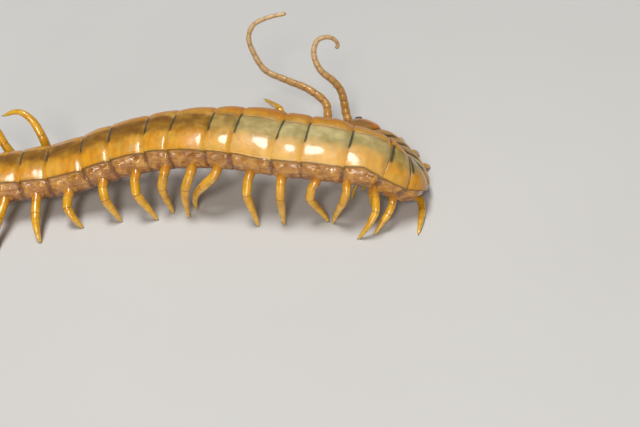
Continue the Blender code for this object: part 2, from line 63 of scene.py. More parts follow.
ROUTE_ARCH = ((8.3, 0.25, 7.65), (3.6, 1.35, 8.75), (0.9, 2.05, 9.1), (-4.1, 3.35, 9.45),
              (-9.3, 5.25, 9.65), (-16.6, 7.05, 9.35), (-21.35, 8.0, 8.6), (-27.45, 8.25, 7.4))
ROUTE_REAR = ((-32.6, 8.3, 5.85), (-36.1, 8.3, 5.2), (-42.3, 8.15, 4.9), (-44.9, 8.15, 4.65),
              (-47.0, 8.25, 4.4), (-52.1, 8.85, 3.7), (-58.1, 9.7, 3.2), (-64.0, 10.7, 3.05))
FRAME_REACH = 1.6

# The section of the skin in shares of the half width and of the height, and the size of the thickest one.
SKIN_SECTION = ((0.00, 0.955), (0.42, 0.93), (0.78, 0.86), (0.94, 0.76), (0.92, 0.68), (0.975, 0.50),
                (0.92, 0.27), (0.71, 0.07), (0.42, 0.00), (0.00, 0.00))
THICKEST_HALF, THICKEST_HEIGHT = 4.8, 6.0
SKIN_START, SKIN_STOP = 0.25, TRUNK_LENGTH - 0.3
SKIN_ROWS, SKIN_SIDES = 430, 88
FLOOR_CLEARANCE = 0.01
TAIL_DOME, TAIL_CLOSING = 1.5, 0.86

# Where the legs leave the trunk: shares of their segment, and places on the section.
ROOT_SHARE = ((3, 0.50), (4, 1.0), (5, 1.0), (6, 0.86), (7, 0.84), (8, 0.60), (9, 0.66), (10, 0.49),
              (11, 0.61), (12, 0.44), (13, 0.30), (14, 0.44), (15, 0.53), (16, 0.56), (18, 0.51), (20, 0.50))
INNER_ROOT_SHARE = 0.5
RAISED_ROOT_SHARE = 0.25
ROOT_PLACE = (0.90, 0.27)
OUTER_ROOT_PLACE = (0.97, 0.50)
INNER_ROOT_PLACE = (0.70, 0.07)
HIGH_ROOT_LEGS = range(1, 4)
OUTER_LEGS = range(1, 5)
INNER_LEGS = range(2, 7)
RAISED_LEGS = (10, 17, 18)

# The relief: heights of humps and depths of creases, each followed by its place, if it has one, and width.
SEGMENT_CREASE, BELLY_CREASE, PLATE_DIP = (0.20, 0.20), (0.12, 0.16), (0.26, 0.55)
WRINKLE, RIPPLE = 0.075, 0.045
LUMPS = ((0.12, 1.5, 3), (0.04, 0.7, 8))
UPPER_FOLD, LOWER_FOLD = (0.30, 0.60, 0.07), (0.16, 0.43, 0.06)
BELLY_RIDGE = (0.05, 0.18, 0.05)
HOLE_SEGMENTS = (3, 5, 8, 10, 12, 14, 16, 18, 20)
HOLE_LEVEL, HOLE_AHEAD, HOLE_SLANT, HOLE_STRETCH = 0.56, 0.25, 0.25, 1.7
HOLE_LIP, HOLE_PIT, HOLE_SHADE_SPREAD = (0.07, 0.26, 0.09), (0.16, 0.15), 0.17
SOCKET_SWELL, SOCKET_RING, SOCKET_STAIN = (0.26, 0.75), (0.10, 1.15, 0.20), 0.95
INNER_SOCKET_SIZE = 0.55


def unit(vector):
    vector = np.asarray(vector, float)
    return vector / np.linalg.norm(vector, axis=-1, keepdims=True)


def smooth_curve(points, steps=24):
    """A centripetal spline through the points, as a dense list."""
    points = [np.asarray(p, float) for p in points]
    padded = [2 * points[0] - points[1]] + points + [2 * points[-1] - points[-2]]
    curve = []
    for before, start, end, after in zip(padded, padded[1:], padded[2:], padded[3:]):
        spans = ((before, start), (start, end), (end, after))
        gaps = [max(1e-6, np.linalg.norm(b - a) ** 0.5) for a, b in spans]
        t0, t1, t2, t3 = 0.0, gaps[0], gaps[0] + gaps[1], sum(gaps)
        for step in range(steps):
            t = t1 + (t2 - t1) * step / steps
            a1 = before * (t1 - t) / (t1 - t0) + start * (t - t0) / (t1 - t0)
            a2 = start * (t2 - t) / (t2 - t1) + end * (t - t1) / (t2 - t1)
            a3 = end * (t3 - t) / (t3 - t2) + after * (t - t2) / (t3 - t2)
            b1 = a1 * (t2 - t) / (t2 - t0) + a2 * (t - t0) / (t2 - t0)
            b2 = a2 * (t3 - t) / (t3 - t1) + a3 * (t - t1) / (t3 - t1)
            curve.append(b1 * (t2 - t) / (t2 - t1) + b2 * (t - t1) / (t2 - t1))
    curve.append(points[-1])
    return np.array(curve)


class Path:
    """A smooth curve that is read by the distance along it."""

    def __init__(self, points, smooth=True):
        self.points = smooth_curve(points) if smooth else np.asarray(points, float)
        steps = np.linalg.norm(np.diff(self.points, axis=0), axis=1)
        self.distance = np.concatenate(([0.0], np.cumsum(steps)))
        self.length = self.distance[-1]

    def point(self, along):
        columns = [np.interp(along, self.distance, self.points[:, axis]) for axis in range(3)]
        return np.stack(columns, axis=-1)

    def direction(self, along, reach=0.6):
        low = np.maximum(0.0, along - reach)
        high = np.minimum(self.length, along + reach)
        return unit(self.point(high) - self.point(low))


def at(pairs, place):
    """A value read from a short list of places and values."""
    places, values = zip(*pairs)
    return np.interp(place, places, values)


TRUNK = Path((*ROUTE_NECK, *ROUTE_TURN, *ROUTE_ARCH, *ROUTE_REAR))


def trunk_frame(along):
    """The middle, and the animal's own forward, right and up, at a distance behind the head."""
    forward = -TRUNK.direction(along, reach=FRAME_REACH)
    right = unit(np.cross(forward, (0.0, 0.0, 1.0)))
    up = np.cross(right, forward)
    roll = np.radians(at(ROLL_AT, along))[..., None]
    rolled_up = up * np.cos(roll) + right * np.sin(roll)
    rolled_right = right * np.cos(roll) - up * np.sin(roll)
    return TRUNK.point(along), forward, rolled_right, rolled_up


def place_on_trunk(along, across, lift):
    """Points from offsets to the right and up, one row for each distance."""
    middle, forward, right, up = trunk_frame(along)
    drawn_in = at(LEFT_SHARE_AT, along)[:, None]
    across = np.where(across < 0, across * drawn_in, across)
    return middle[:, None] + right[:, None] * across[..., None] + up[:, None] * lift[..., None]


def section_loop(section, sides):
    """Evenly spaced shares of half width and height round a smooth closed section."""
    right = list(section)
    left = [(-out, level) for out, level in right[-2:0:-1]]
    loop = [(out * THICKEST_HALF, level * THICKEST_HEIGHT, 0.0) for out, level in right + left]
    loop.append(loop[0])
    line = Path(loop)
    places = line.point(np.linspace(0, line.length, sides, endpoint=False))
    return places[:, 0] / THICKEST_HALF, places[:, 1] / THICKEST_HEIGHT


def is_inner(number, side):
    return side < 0 and number in INNER_LEGS


def root_place(number, side):
    if is_inner(number, side):
        return INNER_ROOT_PLACE
    return OUTER_ROOT_PLACE if side > 0 and number in HIGH_ROOT_LEGS else ROOT_PLACE


def root_along(number, side):
    share = at(ROOT_SHARE, number)
    if is_inner(number, side):
        share = INNER_ROOT_SHARE
    elif side < 0 and number in RAISED_LEGS:
        share = RAISED_ROOT_SHARE
    return PLATE_ENDS[number - 1] + share * PLATE_LENGTHS[number - 1]


def wobble(points, size, seed, waves=9):
    """A smooth seeded unevenness between about -1 and 1: waves of about the given length, summed."""
    dice = random.Random(seed)
    total = np.zeros(points.shape[:-1])
    for _ in range(waves):
        way = unit([dice.gauss(0, 1) for _ in range(3)]) * 2 * math.pi / (size * dice.uniform(0.7, 1.5))
        total += np.sin(points @ way + dice.uniform(0, 2 * math.pi))
    return total / 4.0


def hump(distance, width):
    """1 at no distance, falling softly to 0 a few widths away."""
    return np.exp(-(np.asarray(distance) / width) ** 2)


def grid_faces(rows, count):
    """Four-sided faces between rings of that many points."""
    row, column = np.meshgrid(np.arange(rows - 1), np.arange(count), indexing="ij")
    after = (column + 1) % count
    here, beyond = row * count, (row + 1) * count
    return np.stack((here + column, beyond + column, beyond + after, here + after), axis=-1).reshape(-1, 4)


class Skin:
    """Rings gathered into one mesh, with painted values at every point."""

    def __init__(self):
        self.points, self.faces, self.values, self.count = [], [], {}, 0

    def add(self, rings, **values):
        """Rings of equal count, closed round and capped at both ends."""
        rings = np.asarray(rings, float)
        rows, count = rings.shape[:2]
        flat = rings.reshape(-1, 3)
        ends = np.array((rings[0].mean(axis=0), rings[-1].mean(axis=0)))
        faces = grid_faces(rows, count)
        around = np.arange(count)
        after = (around + 1) % count
        first, last = rows * count, rows * count + 1
        start_cap = np.stack((np.full(count, first), around, after), axis=-1)
        end = (rows - 1) * count
        end_cap = np.stack((np.full(count, last), end + after, end + around), axis=-1)
        centre = flat.mean(axis=0)
        a, b, c = (flat[faces[:, k]] - centre for k in (0, 1, 2))
        inside_out = np.einsum("ij,ij->i", a, np.cross(b, c)).sum() < 0
        for group in (faces, start_cap, end_cap):
            group = group[:, ::-1] if inside_out else group
            self.faces += (group + self.count).tolist()
        self.points.append(np.concatenate((flat, ends)))
        for name, value in values.items():
            value = np.broadcast_to(np.asarray(value, float), (rows, count)).reshape(-1)
            value = np.concatenate((value, (value[0], value[-1])))
            self.values.setdefault(name, []).append(value)
        self.count += len(flat) + 2
        return self

    def make(self, name, finish, replaced=(), slot=None):
        points = np.concatenate(self.points)
        points[:, 2] = np.maximum(points[:, 2], FLOOR_CLEARANCE)
        metres = (points - np.array((*CENTRE, 0.0))) * MILLIMETRE
        mesh = bpy.data.meshes.new(name)
        mesh.from_pydata(metres.tolist(), [], self.faces)
        mesh.shade_smooth()
        for value_name, lists in self.values.items():
            layer = mesh.attributes.new(value_name, "FLOAT", "POINT")
            layer.data.foreach_set("value", np.concatenate(lists).astype(np.float32))
        mesh.materials.append(finish)
        made = bpy.data.objects.new(name, mesh)
        bpy.context.scene.collection.objects.link(made)
        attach(made, "root")
        if replaced:
            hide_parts(*replaced)
        return made


def soft_relief(alongs, out, level, nearest, plain):
    """Creases between segments, wrinkles, lumps, two swollen folds, and a ridge on each side of the belly."""
    flank = np.clip((0.74 - level) / 0.08, 0, 1) * np.clip((level - 0.03) / 0.12, 0, 1)
    upper = flank * np.clip((level - 0.10) / 0.2, 0.25, 1)
    belly = np.clip((0.10 - level) / 0.06, 0, 1)
    under_plates = np.clip((level - 0.72) / 0.06, 0, 1)
    relief = -SEGMENT_CREASE[0] * hump(nearest, SEGMENT_CREASE[1]) * flank
    relief = relief - BELLY_CREASE[0] * hump(nearest, BELLY_CREASE[1]) * belly
    girth = level * THICKEST_HEIGHT
    waves = np.sin(alongs * 2.7 + 2.2 * np.sin(girth * 1.9))
    relief = relief + (WRINKLE * np.sin(girth * 7.5 + 1.3 * waves) + RIPPLE * waves) * upper
    for height, size, seed in LUMPS:
        relief = relief + height * wobble(plain, size, seed) * upper
    swollen = (1 - 0.8 * hump(nearest, 0.6)) * (0.75 + 0.35 * wobble(plain, 1.5, 5))
    for height, middle, width in (UPPER_FOLD, LOWER_FOLD):
        relief = relief + swollen * height * hump(level - middle - 0.02 * waves, width)
    height, middle, width = BELLY_RIDGE
    relief = relief + height * belly * hump(np.abs(out) - middle, width)
    return relief - PLATE_DIP[0] * hump(nearest, PLATE_DIP[1]) * under_plates


def trunk_skin():
    out, level = section_loop(SKIN_SECTION, SKIN_SIDES)
    alongs = np.linspace(SKIN_START, SKIN_STOP, SKIN_ROWS)
    across, lift = out * at(WIDTH_AT, alongs)[:, None] / 2, (level - 0.5) * at(HEIGHT_AT, alongs)[:, None]
    outline = np.stack((out * THICKEST_HALF, level * THICKEST_HEIGHT), axis=-1)
    tangent = np.roll(outline, -1, axis=0) - np.roll(outline, 1, axis=0)
    normal = unit(np.stack((tangent[:, 1], -tangent[:, 0]), axis=-1))
    if (normal * (outline - (0.0, THICKEST_HEIGHT / 2))).sum() < 0:
        normal = -normal
    nearest = np.abs(alongs[:, None] - PLATE_ENDS[None, :]).min(axis=1)[:, None]
    relief = soft_relief(alongs[:, None], out, level, nearest, place_on_trunk(alongs, across, lift))
    holes, sockets = np.zeros_like(relief), np.zeros_like(relief)
    for number in HOLE_SEGMENTS:
        for side in (1, -1):
            ahead = alongs[:, None] - root_along(number, side) - HOLE_AHEAD
            rise = (level - HOLE_LEVEL) * THICKEST_HEIGHT - HOLE_SLANT * ahead
            distance = np.hypot(ahead / HOLE_STRETCH, rise)
            here = np.sign(out) == side
            lip = HOLE_LIP[0] * hump(distance - HOLE_LIP[1], HOLE_LIP[2])
            relief = relief + (lip - HOLE_PIT[0] * hump(distance, HOLE_PIT[1])) * here
            # How far the painted shade of each air hole spreads round it.
            holes = np.maximum(holes, hump(distance, HOLE_SHADE_SPREAD) * here)
    for number in range(1, SEGMENTS):
        for side in (1, -1):
            out_root, level_root = root_place(number, side)
            ahead = alongs[:, None] - root_along(number, side)
            outward, rise = (out - side * out_root) * THICKEST_HALF, (level - level_root) * THICKEST_HEIGHT
            distance = np.hypot(ahead, np.hypot(outward, rise))
            size = INNER_SOCKET_SIZE if is_inner(number, side) else 1.0
            ring = SOCKET_RING[0] * hump(distance - SOCKET_RING[1], SOCKET_RING[2])
            relief = relief + size * (SOCKET_SWELL[0] * hump(distance, SOCKET_SWELL[1]) - ring)
            sockets = np.maximum(sockets, hump(distance, SOCKET_STAIN))
    into_dome = np.clip((alongs - (SKIN_STOP - TAIL_DOME)) / TAIL_DOME, 0, 1)
    closing = np.sqrt(1 - TAIL_CLOSING * into_dome ** 2)[:, None]
    across, lift = (across + normal[:, 0] * relief) * closing, (lift + normal[:, 1] * relief) * closing
    return Skin().add(place_on_trunk(alongs, across, lift), height=level[None, :], socket=sockets,
                      crease=hump(nearest, 0.28), hole=holes, fold=np.clip(0.5 + relief * 2.4, 0, 1))


class Value:
    """A shader value that is combined with plain arithmetic."""

    def __init__(self, nodes, output):
        self.nodes, self.output = nodes, output

    def math(self, operation, *others):
        sockets = dict(enumerate((self, *others)))
        node = self.nodes.node("ShaderNodeMath", sockets, operation=operation)
        return Value(self.nodes, node.outputs[0])

    def __add__(self, other):
        return self.math("ADD", other)

    def __sub__(self, other):
        return self.math("SUBTRACT", other)

    def __mul__(self, other):
        return self.math("MULTIPLY", other)

    def __radd__(self, other):
        return self + other

    def __rsub__(self, other):
        return self * -1.0 + other

    def __rmul__(self, other):
        return self * other

    def size(self):
        return self.math("ABSOLUTE")

    def ramp(self, low, high):
        """0 at low and 1 at high, with a soft start and end."""
        node = self.nodes.node("ShaderNodeMapRange", {"Value": self, "From Min": low, "From Max": high},
                               interpolation_type="SMOOTHSTEP")
        return Value(self.nodes, node.outputs["Result"])

    def band(self, middle, width):
        """1 at the middle, falling to 0 at the width on both sides."""
        return (self - middle).size().ramp(width, 0.0)


class Nodes:
    """A tree of nodes, and the one method that adds a node to it."""

    def __init__(self, tree):
        self.tree = tree

    def node(self, kind, sockets=None, **settings):
        made = self.tree.nodes.new(kind)
        for name, value in settings.items():
            setattr(made, name, value)
        for name, value in (sockets or {}).items():
            self.join(made.inputs[name], value)
        return made

    def join(self, socket, value):
        value = value.output if isinstance(value, Value) else value
        if isinstance(value, bpy.types.NodeSocket):
            self.tree.links.new(value, socket)
        elif socket.type == "RGBA":
            socket.default_value = (*value, 1.0)
        else:
            socket.default_value = value


class Finish(Nodes):
    """A procedural material, built value by value. Its constants are set on the shader's own sockets."""

    def __init__(self, name, **constants):
        self.material = bpy.data.materials.new(name)
        self.material.use_nodes = True
        super().__init__(self.material.node_tree)
        self.shader = self.tree.nodes["Principled BSDF"]
        self.place = self.node("ShaderNodeTexCoord").outputs["Object"]
        for socket, value in constants.items():
            self.shader.inputs[socket.replace("_", " ")].default_value = value

    def painted(self, name):
        return Value(self, self.node("ShaderNodeAttribute", attribute_name=name).outputs["Fac"])

    def noise(self, size, detail=3.0, roughness=0.5, stretch=(1.0, 1.0, 1.0)):
        """Cloudy noise with blotches of about that many millimetres."""
        scale = [part / (size * MILLIMETRE) for part in stretch]
        mapping = self.node("ShaderNodeMapping", {"Vector": self.place, "Scale": scale})
        noise = self.node("ShaderNodeTexNoise", {"Vector": mapping.outputs["Vector"], "Scale": 1.0,
                                                 "Detail": detail, "Roughness": roughness})
        return Value(self, noise.outputs["Fac"])

    def mix(self, share, first, second):
        """The first colour where the share is 0, and the second where it is 1."""
        node = self.node("ShaderNodeMix", {0: share, 6: first, 7: second}, data_type="RGBA")
        return Value(self, node.outputs[2])

    def clouds(self, cloud, colours, low=0.3, high=0.7):
        """Two colours in clouds that run into each other."""
        return self.mix(cloud.ramp(low, high), *colours)

    def set(self, socket, value):
        self.join(self.shader.inputs[socket], value)

    def bump(self, height, depth, strength):
        """Relief of that many millimetres where the height goes from 0 to 1."""
        sockets = {"Strength": strength, "Distance": depth * MILLIMETRE, "Height": height}
        node = self.node("ShaderNodeBump", sockets)
        self.set("Normal", node.outputs["Normal"])


TAN = ((0.34, 0.125, 0.012), (0.60, 0.290, 0.042))
# The colours for the folds, the low flank, the creases and the air holes are painted shade: they darken the
# skin where shade falls.
TAN_SHADED_IN_FOLDS = (0.25, 0.075, 0.010)
TAN_SHADED_LOW_DOWN = (0.24, 0.068, 0.008)
TAN_ROUND_LEGS = (0.52, 0.20, 0.015)
BELLY_TAN = ((0.38, 0.17, 0.03), (0.48, 0.26, 0.07))
CREASE_SHADE_BROWN = (0.09, 0.03, 0.008)
HOLE_SHADE_BLACK = (0.03, 0.01, 0.004)
SOFT = Finish("soft_skin", Coat_Weight=1.0, Coat_Roughness=0.035, Subsurface_Weight=0.12,
              Subsurface_Radius=(1.0, 0.4, 0.15), Subsurface_Scale=0.0008, IOR=1.45)
tan = SOFT.clouds(SOFT.noise(1.3, 4.0), TAN, 0.32, 0.7)
# Painted shade: the skin is darker where its relief sinks into folds and dips.
tan = SOFT.mix(SOFT.painted("fold").ramp(0.42, 0.1) * 0.8, tan, TAN_SHADED_IN_FOLDS)
# Painted shade: the flank is darker low down, in the body's own shade.
tan = SOFT.mix(SOFT.painted("height").ramp(0.34, 0.12) * 0.8, tan, TAN_SHADED_LOW_DOWN)
tan = SOFT.mix(SOFT.painted("socket").ramp(0.25, 0.9) * 0.8, tan, TAN_ROUND_LEGS)
colour = SOFT.mix(SOFT.painted("height").ramp(0.08, 0.02), tan, SOFT.clouds(SOFT.noise(2.2), BELLY_TAN))
# Painted shade: brown in the creases between segments.
colour = SOFT.mix(SOFT.painted("crease") * 0.6, colour, CREASE_SHADE_BROWN)
# Painted shade: black in each shallow air-hole pit, for the shade of its depth.
colour = SOFT.mix(SOFT.painted("hole").ramp(0.35, 0.75), colour, HOLE_SHADE_BLACK)
SOFT.set("Base Color", colour)
SOFT.set("Roughness", SOFT.noise(0.6).ramp(0.2, 0.8) * 0.10 + 0.10)
fine_wrinkles = SOFT.noise(0.42, 3.0, 0.5, (0.45, 0.8, 1.3))
broad_wrinkles = SOFT.noise(1.0, 2.0, 0.5, (0.5, 0.8, 1.2))
SOFT.bump(fine_wrinkles + broad_wrinkles * 1.3, 0.26, 1.0)

trunk_nodes = [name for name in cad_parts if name.startswith("trunk_segments")]
trunk_skin().make("skin", SOFT.material, trunk_nodes, "back_shell")


# The back plates: twenty-one hard, glossy shells of horn, each lapping over the front of the next.
# They are amber at the sides and grey-green down the middle, with a dark band across each rear edge.
# Each is thin and crowned, has a raised rim at both sides, and grows out of the skin along its whole length.
PLATE_THICKNESS = 0.20
PLATE_ACROSS = 61
PLATE_SHARES = np.concatenate((np.linspace(-0.05, 0.90, 26), (0.94, 0.965, 0.98, 0.99, 0.995)))
CORNER_AT = ((0, 0.0), (0.08, 0.5), (0.22, 0.9), (0.45, 1.0), (0.8, 0.9), (0.95, 0.6), (1.0, 0.1))
CORNER_DRAWN_IN = 0.03
CROWN = 0.11
DROP_AT = ((-0.05, 0.40), (0.0, 0.33), (0.06, 0.16), (0.14, 0.06), (0.5, 0.0), (0.94, 0.0),
           (0.985, 0.03), (0.995, 0.10))
SIDE_FALL, SIDE_FALL_POWER = 0.23, 2.6
RIM_HEIGHT, RIM_PLACE, RIM_WIDTH = 0.02, 0.965, 0.035
UNEVEN_HEIGHT, UNEVEN_SIZE = 0.035, 3.2
LAST_PLATE_REACH = 0.9
# How much painted highlight each plate on the arch carries: a paler middle and a creamier near side.
HIGHLIGHT_ON_ARCH_PLATES = ((5.5, 0), (7.5, 1), (9.5, 1), (11.5, 0))


def plate_rings(number):
    front, length = PLATE_ENDS[number - 1], PLATE_LENGTHS[number - 1]
    share = PLATE_SHARES
    alongs = front + share * length
    arched = np.sin(math.pi * np.clip(share, 0, 1))
    reach = 1.0 + (at(CORNER_AT, share) * CORNER_DRAWN_IN - CORNER_DRAWN_IN)[:, None]
    raised = (CROWN * arched ** 0.8 - at(DROP_AT, share))[:, None]
    half_width = at(WIDTH_AT, alongs)[:, None] / 2
    height = at(HEIGHT_AT, alongs)[:, None]
    top = np.sin(np.linspace(-math.pi / 2, math.pi / 2, PLATE_ACROSS))
    bottom = top[::-1][1:-1] * 0.985
    places = np.concatenate((top, bottom))
    thinned = 1.15 - 0.5 * np.clip((share - 0.93) / 0.07, 0, 1)
    thickness = PLATE_THICKNESS * np.clip(thinned, 0, 1)[:, None]
    rim = RIM_HEIGHT * hump(np.abs(top) - RIM_PLACE, RIM_WIDTH)[None, :]
    from_top = np.concatenate((rim + 0 * thickness, -thickness + 0 * bottom[None, :]), axis=1)
    level = 1.0 - SIDE_FALL * np.abs(places) ** SIDE_FALL_POWER
    across = places[None, :] * half_width * reach
    lift = (level[None, :] - 0.5) * height + raised + from_top
    uneven = UNEVEN_HEIGHT * wobble(place_on_trunk(alongs, across, lift), UNEVEN_SIZE, 20 + number)
    points = place_on_trunk(alongs, across, lift + uneven * arched[:, None])
    if number == SEGMENTS:
        reach_back = LAST_PLATE_REACH * (1 - places ** 2)[None, :] * np.clip(share, 0, 1)[:, None] ** 3
        points = points - trunk_frame(TRUNK_LENGTH)[1] * reach_back[..., None]
    return points, dict(across=places[None, :], along=share[:, None],
                        to_rear=((1 - share) * length)[:, None],
                        neck=max(0.0, 1 - number / 4.5), dull=min(1.0, max(0.0, (6.5 - number) / 3)),
                        trailing=min(1.0, max(0.0, (number - 9.5) / 3)), pale=at(HIGHLIGHT_ON_ARCH_PLATES, number))


AMBER = ((0.50, 0.190, 0.004), (0.66, 0.300, 0.012))
HONEY = (0.64, 0.37, 0.055)
MOSS = (0.40, 0.235, 0.035)
CREAM_HIGHLIGHT = (0.74, 0.50, 0.19)
FAR_SIDE_SHADE_RED = (0.50, 0.165, 0.003)
OLIVE = ((0.25, 0.150, 0.018), (0.46, 0.31, 0.070))
OLIVE_AT_REAR = ((0.18, 0.070, 0.003), (0.33, 0.155, 0.008))
OLIVE_HIGHLIGHT_ON_ARCH = ((0.36, 0.30, 0.12), (0.56, 0.46, 0.22))
OLIVE_AT_NECK = (0.40, 0.15, 0.008)
SUTURE_SHADE_BROWN = (0.20, 0.055, 0.008)
RIM_BROWN = (0.095, 0.052, 0.010)
BAND_DARK = (0.014, 0.032, 0.020)
EDGE_TAN = (0.30, 0.15, 0.03)
SHELL = Finish("back_plates", Coat_Roughness=0.12, Coat_IOR=1.40, IOR=1.40, Subsurface_Weight=0.06,
               Subsurface_Radius=(1.0, 0.5, 0.15), Subsurface_Scale=0.0006)
across, rear, pale, dull = (SHELL.painted(name) for name in ("across", "to_rear", "pale", "dull"))
cloud = SHELL.noise(1.7, 4.0, 0.55)
streak = SHELL.noise(0.8, 4.0, 0.6, (1.0, 0.22, 0.6))
amber = SHELL.clouds(streak, AMBER, 0.28, 0.74)
amber = SHELL.mix(SHELL.noise(3.4, 2.0).ramp(0.42, 0.70) * 0.6, amber, HONEY)
amber = SHELL.mix(SHELL.noise(1.2, 3.0).ramp(0.48, 0.70) * 0.55, amber, MOSS)
# Painted highlight: the near side of the plates on the arch is creamier.
amber = SHELL.mix(pale * across.ramp(0.2, 0.5) * 0.4, amber, CREAM_HIGHLIGHT)
# Painted shade: the far side of each plate is darker and redder.
amber = SHELL.mix(across.ramp(-0.45, -0.80) * 0.8, amber, FAR_SIDE_SHADE_RED)
olive = SHELL.mix(SHELL.painted("trailing"), SHELL.clouds(cloud, OLIVE), SHELL.clouds(cloud, OLIVE_AT_REAR))
olive = SHELL.mix(SHELL.painted("neck") * 0.8, olive, OLIVE_AT_NECK)
# Painted highlight: the middle of the plates on the arch is paler.
olive = SHELL.mix(pale * 0.85, olive, SHELL.clouds(cloud, OLIVE_HIGHLIGHT_ON_ARCH))
from_middle = across.size() + (cloud - 0.5) * 0.34
right_side = across.ramp(-0.08, 0.10)
left_border = from_middle.ramp(0.20, 0.46) * (1 - right_side)
right_border = (from_middle + (streak - 0.5) * 0.2).ramp(0.12, 0.66) * right_side
colour = SHELL.mix(left_border + right_border, olive, amber)
suture = across.size().band(0.30, 0.026) * SHELL.painted("along").ramp(0.02, 0.2)
far_side = across.ramp(0.2, -0.2)
# Painted shade in the suture grooves: faint on the near side, strong on the far side.
colour = SHELL.mix(suture * (far_side * 0.75 + 0.06), colour, SUTURE_SHADE_BROWN)
rim_line = (across.size() + (cloud - 0.5) * 0.02).ramp(0.962, 0.985)
colour = SHELL.mix(rim_line * 0.8, colour, RIM_BROWN)
band_across = (across.size() + (streak - 0.5) * 0.16).ramp(0.50, 0.36)
band = (rear + (cloud - 0.5) * 0.36).ramp(0.50, 0.22) * band_across
colour = SHELL.mix(band * 0.90, colour, BAND_DARK)
colour = SHELL.mix(rear.ramp(0.14, 0.03) * 0.6, colour, EDGE_TAN)
SHELL.set("Base Color", colour)
SHELL.set("Roughness", streak.ramp(0.2, 0.8) * 0.18 + 0.24 + dull * 0.16)
SHELL.set("Coat Weight", (1.0 - dull * 0.7) * (1.0 - across.ramp(-0.3, -0.7) * 0.9))
dents = SHELL.noise(2.2, 3.0) * 1.3 + SHELL.noise(0.34, 4.0, 0.6) * 0.20
SHELL.bump(dents - suture * far_side * 0.45 - across.size().band(0.94, 0.03) * 0.5, 0.14, 0.9)

plates = Skin()
for number in range(1, SEGMENTS + 1):
    rings, values = plate_rings(number)
    plates.add(rings, **values)
plates.make("back_plates", SHELL.material, slot="back_shell")


# The walking legs: twenty pairs of hard tapered tubes in straight articles, ringed where they bend.
# Each is set into a swollen socket of the skin, and ends in a dark claw with two spurs behind it.
# The right feet stand where the photograph shows them. Most left feet keep one reach and a slow wave.
GAP = 0.3
SOCKET_BULGE = 0.22
LEG_DEPTH = 0.55
LEG_JOINTS = (0.0, 0.10, 0.37, 0.59, 0.78, 0.91, 0.985)
LEG_RADII = ((0.0, 0.68), (0.05, 0.67), (0.10, 0.625), (0.13, 0.64), (0.25, 0.66), (0.34, 0.64),
             (0.37, 0.61), (0.40, 0.62), (0.48, 0.60), (0.56, 0.545), (0.59, 0.515), (0.62, 0.52),
             (0.70, 0.47), (0.76, 0.42), (0.78, 0.395), (0.81, 0.39), (0.88, 0.33), (0.91, 0.30),
             (0.94, 0.27), (0.97, 0.21), (0.985, 0.12))
LEG_ROWS, LEG_SIDES = 58, 18
LEG_SIZE = ((1, 0.74), (6, 0.82), (9, 1.0), (20, 1.0))
INNER_LEG_SIZE = 0.62
RAISED_LEG_SIZE = {10: 0.8, 17: 1.0, 18: 1.0}
BEND_EASE, RAISED_BEND_EASE = 0.035, 0.08
KNEE_REACH, OUTER_KNEE_REACH = 0.36, 0.18
SHIN_RISE, SHIN_LEAN = 0.50, 0.08
RIGHT_FEET = {1: (13.0, 14.6, -0.2), 2: (14.8, 11.4, -0.2), 3: (16.0, 8.2, -0.2), 4: (12.7, -6.4, 0.0),
              5: (7.0, -5.6, -0.9), 6: (4.7, -6.2, -2.1), 7: (1.6, -2.5, -0.9), 8: (1.1, -2.0, 1.9),
              9: (-5.0, -1.8, 0.0), 10: (-8.4, -1.6, 0.8), 11: (-16.9, 3.2, 0.9), 12: (-17.9, 1.7, 0.7),
              13: (-20.1, 2.9, 1.1), 14: (-22.2, 1.7, 1.6), 15: (-27.2, 2.0, 1.1), 16: (-32.5, 1.4, 1.3),
              17: (-38.0, -1.1, 0.4), 18: (-43.6, -2.2, 0.8), 19: (-50.0, -2.0, 0.6), 20: (-56.4, -1.4, 0.5)}
LEFT_FEET = {1: (3.9, 7.4, 0.0), 2: (5.4, 5.9, 0.0), 3: (6.2, 4.2, 0.0), 4: (6.9, 2.4, 0.0),
             5: (7.0, 0.6, 0.0), 6: (4.6, 2.6, 0.0), 7: (2.9, 8.6, 0.2), 8: (0.8, 10.4, 0.2),
             9: (-2.8, 12.2, 0.4)}
LEFT_SPAN, LEFT_REACH, LEFT_BOW = 9.2, (2.6, 6.6), 0.7
STRIDE, STRIDE_LEGS = 1.6, 7.0
RAISED_LEFT = {10: ((-4.1, 10.2, 10.6), (-4.9, 12.2, 10.1), (-5.8, 14.0, 9.7), (-6.4, 15.0, 9.5)),
               17: ((-38.0, 13.8, 6.5), (-38.5, 14.5, 8.3), (-39.8, 15.2, 10.4), (-40.8, 15.8, 10.7),
                    (-43.6, 16.6, 9.5)),
               18: ((-43.5, 13.7, 5.9), (-44.0, 14.5, 7.4), (-45.1, 15.4, 9.1), (-47.3, 16.4, 8.7),
                    (-48.9, 17.0, 7.4))}
SPUR_RADII, SPUR_LENGTH = np.array((0.07, 0.06, 0.035, 0.006)), 0.34
CLAW_REACH, CLAW_HOOK, CLAW_DEPTH = 0.52, 0.30, 0.25
CLAW_RADII = ((0.0, 0.12), (0.3, 0.11), (1.0, 0.012))


def ring_frames(path, alongs, hint=(0.0, 0.0, 1.0), reach=0.3):
    """Right and up directions that turn as little as they can along a path."""
    rights, ups = [], []
    hint = np.asarray(hint, float)
    for along in alongs:
        forward = path.direction(along, reach)
        right = np.cross(forward, hint)
        if np.linalg.norm(right) < 0.05:
            right = np.cross(forward, (0.0, 1.0, 0.0))
        right = unit(right)
        hint = np.cross(right, forward)
        rights.append(right)
        ups.append(hint)
    return np.array(rights), np.array(ups)


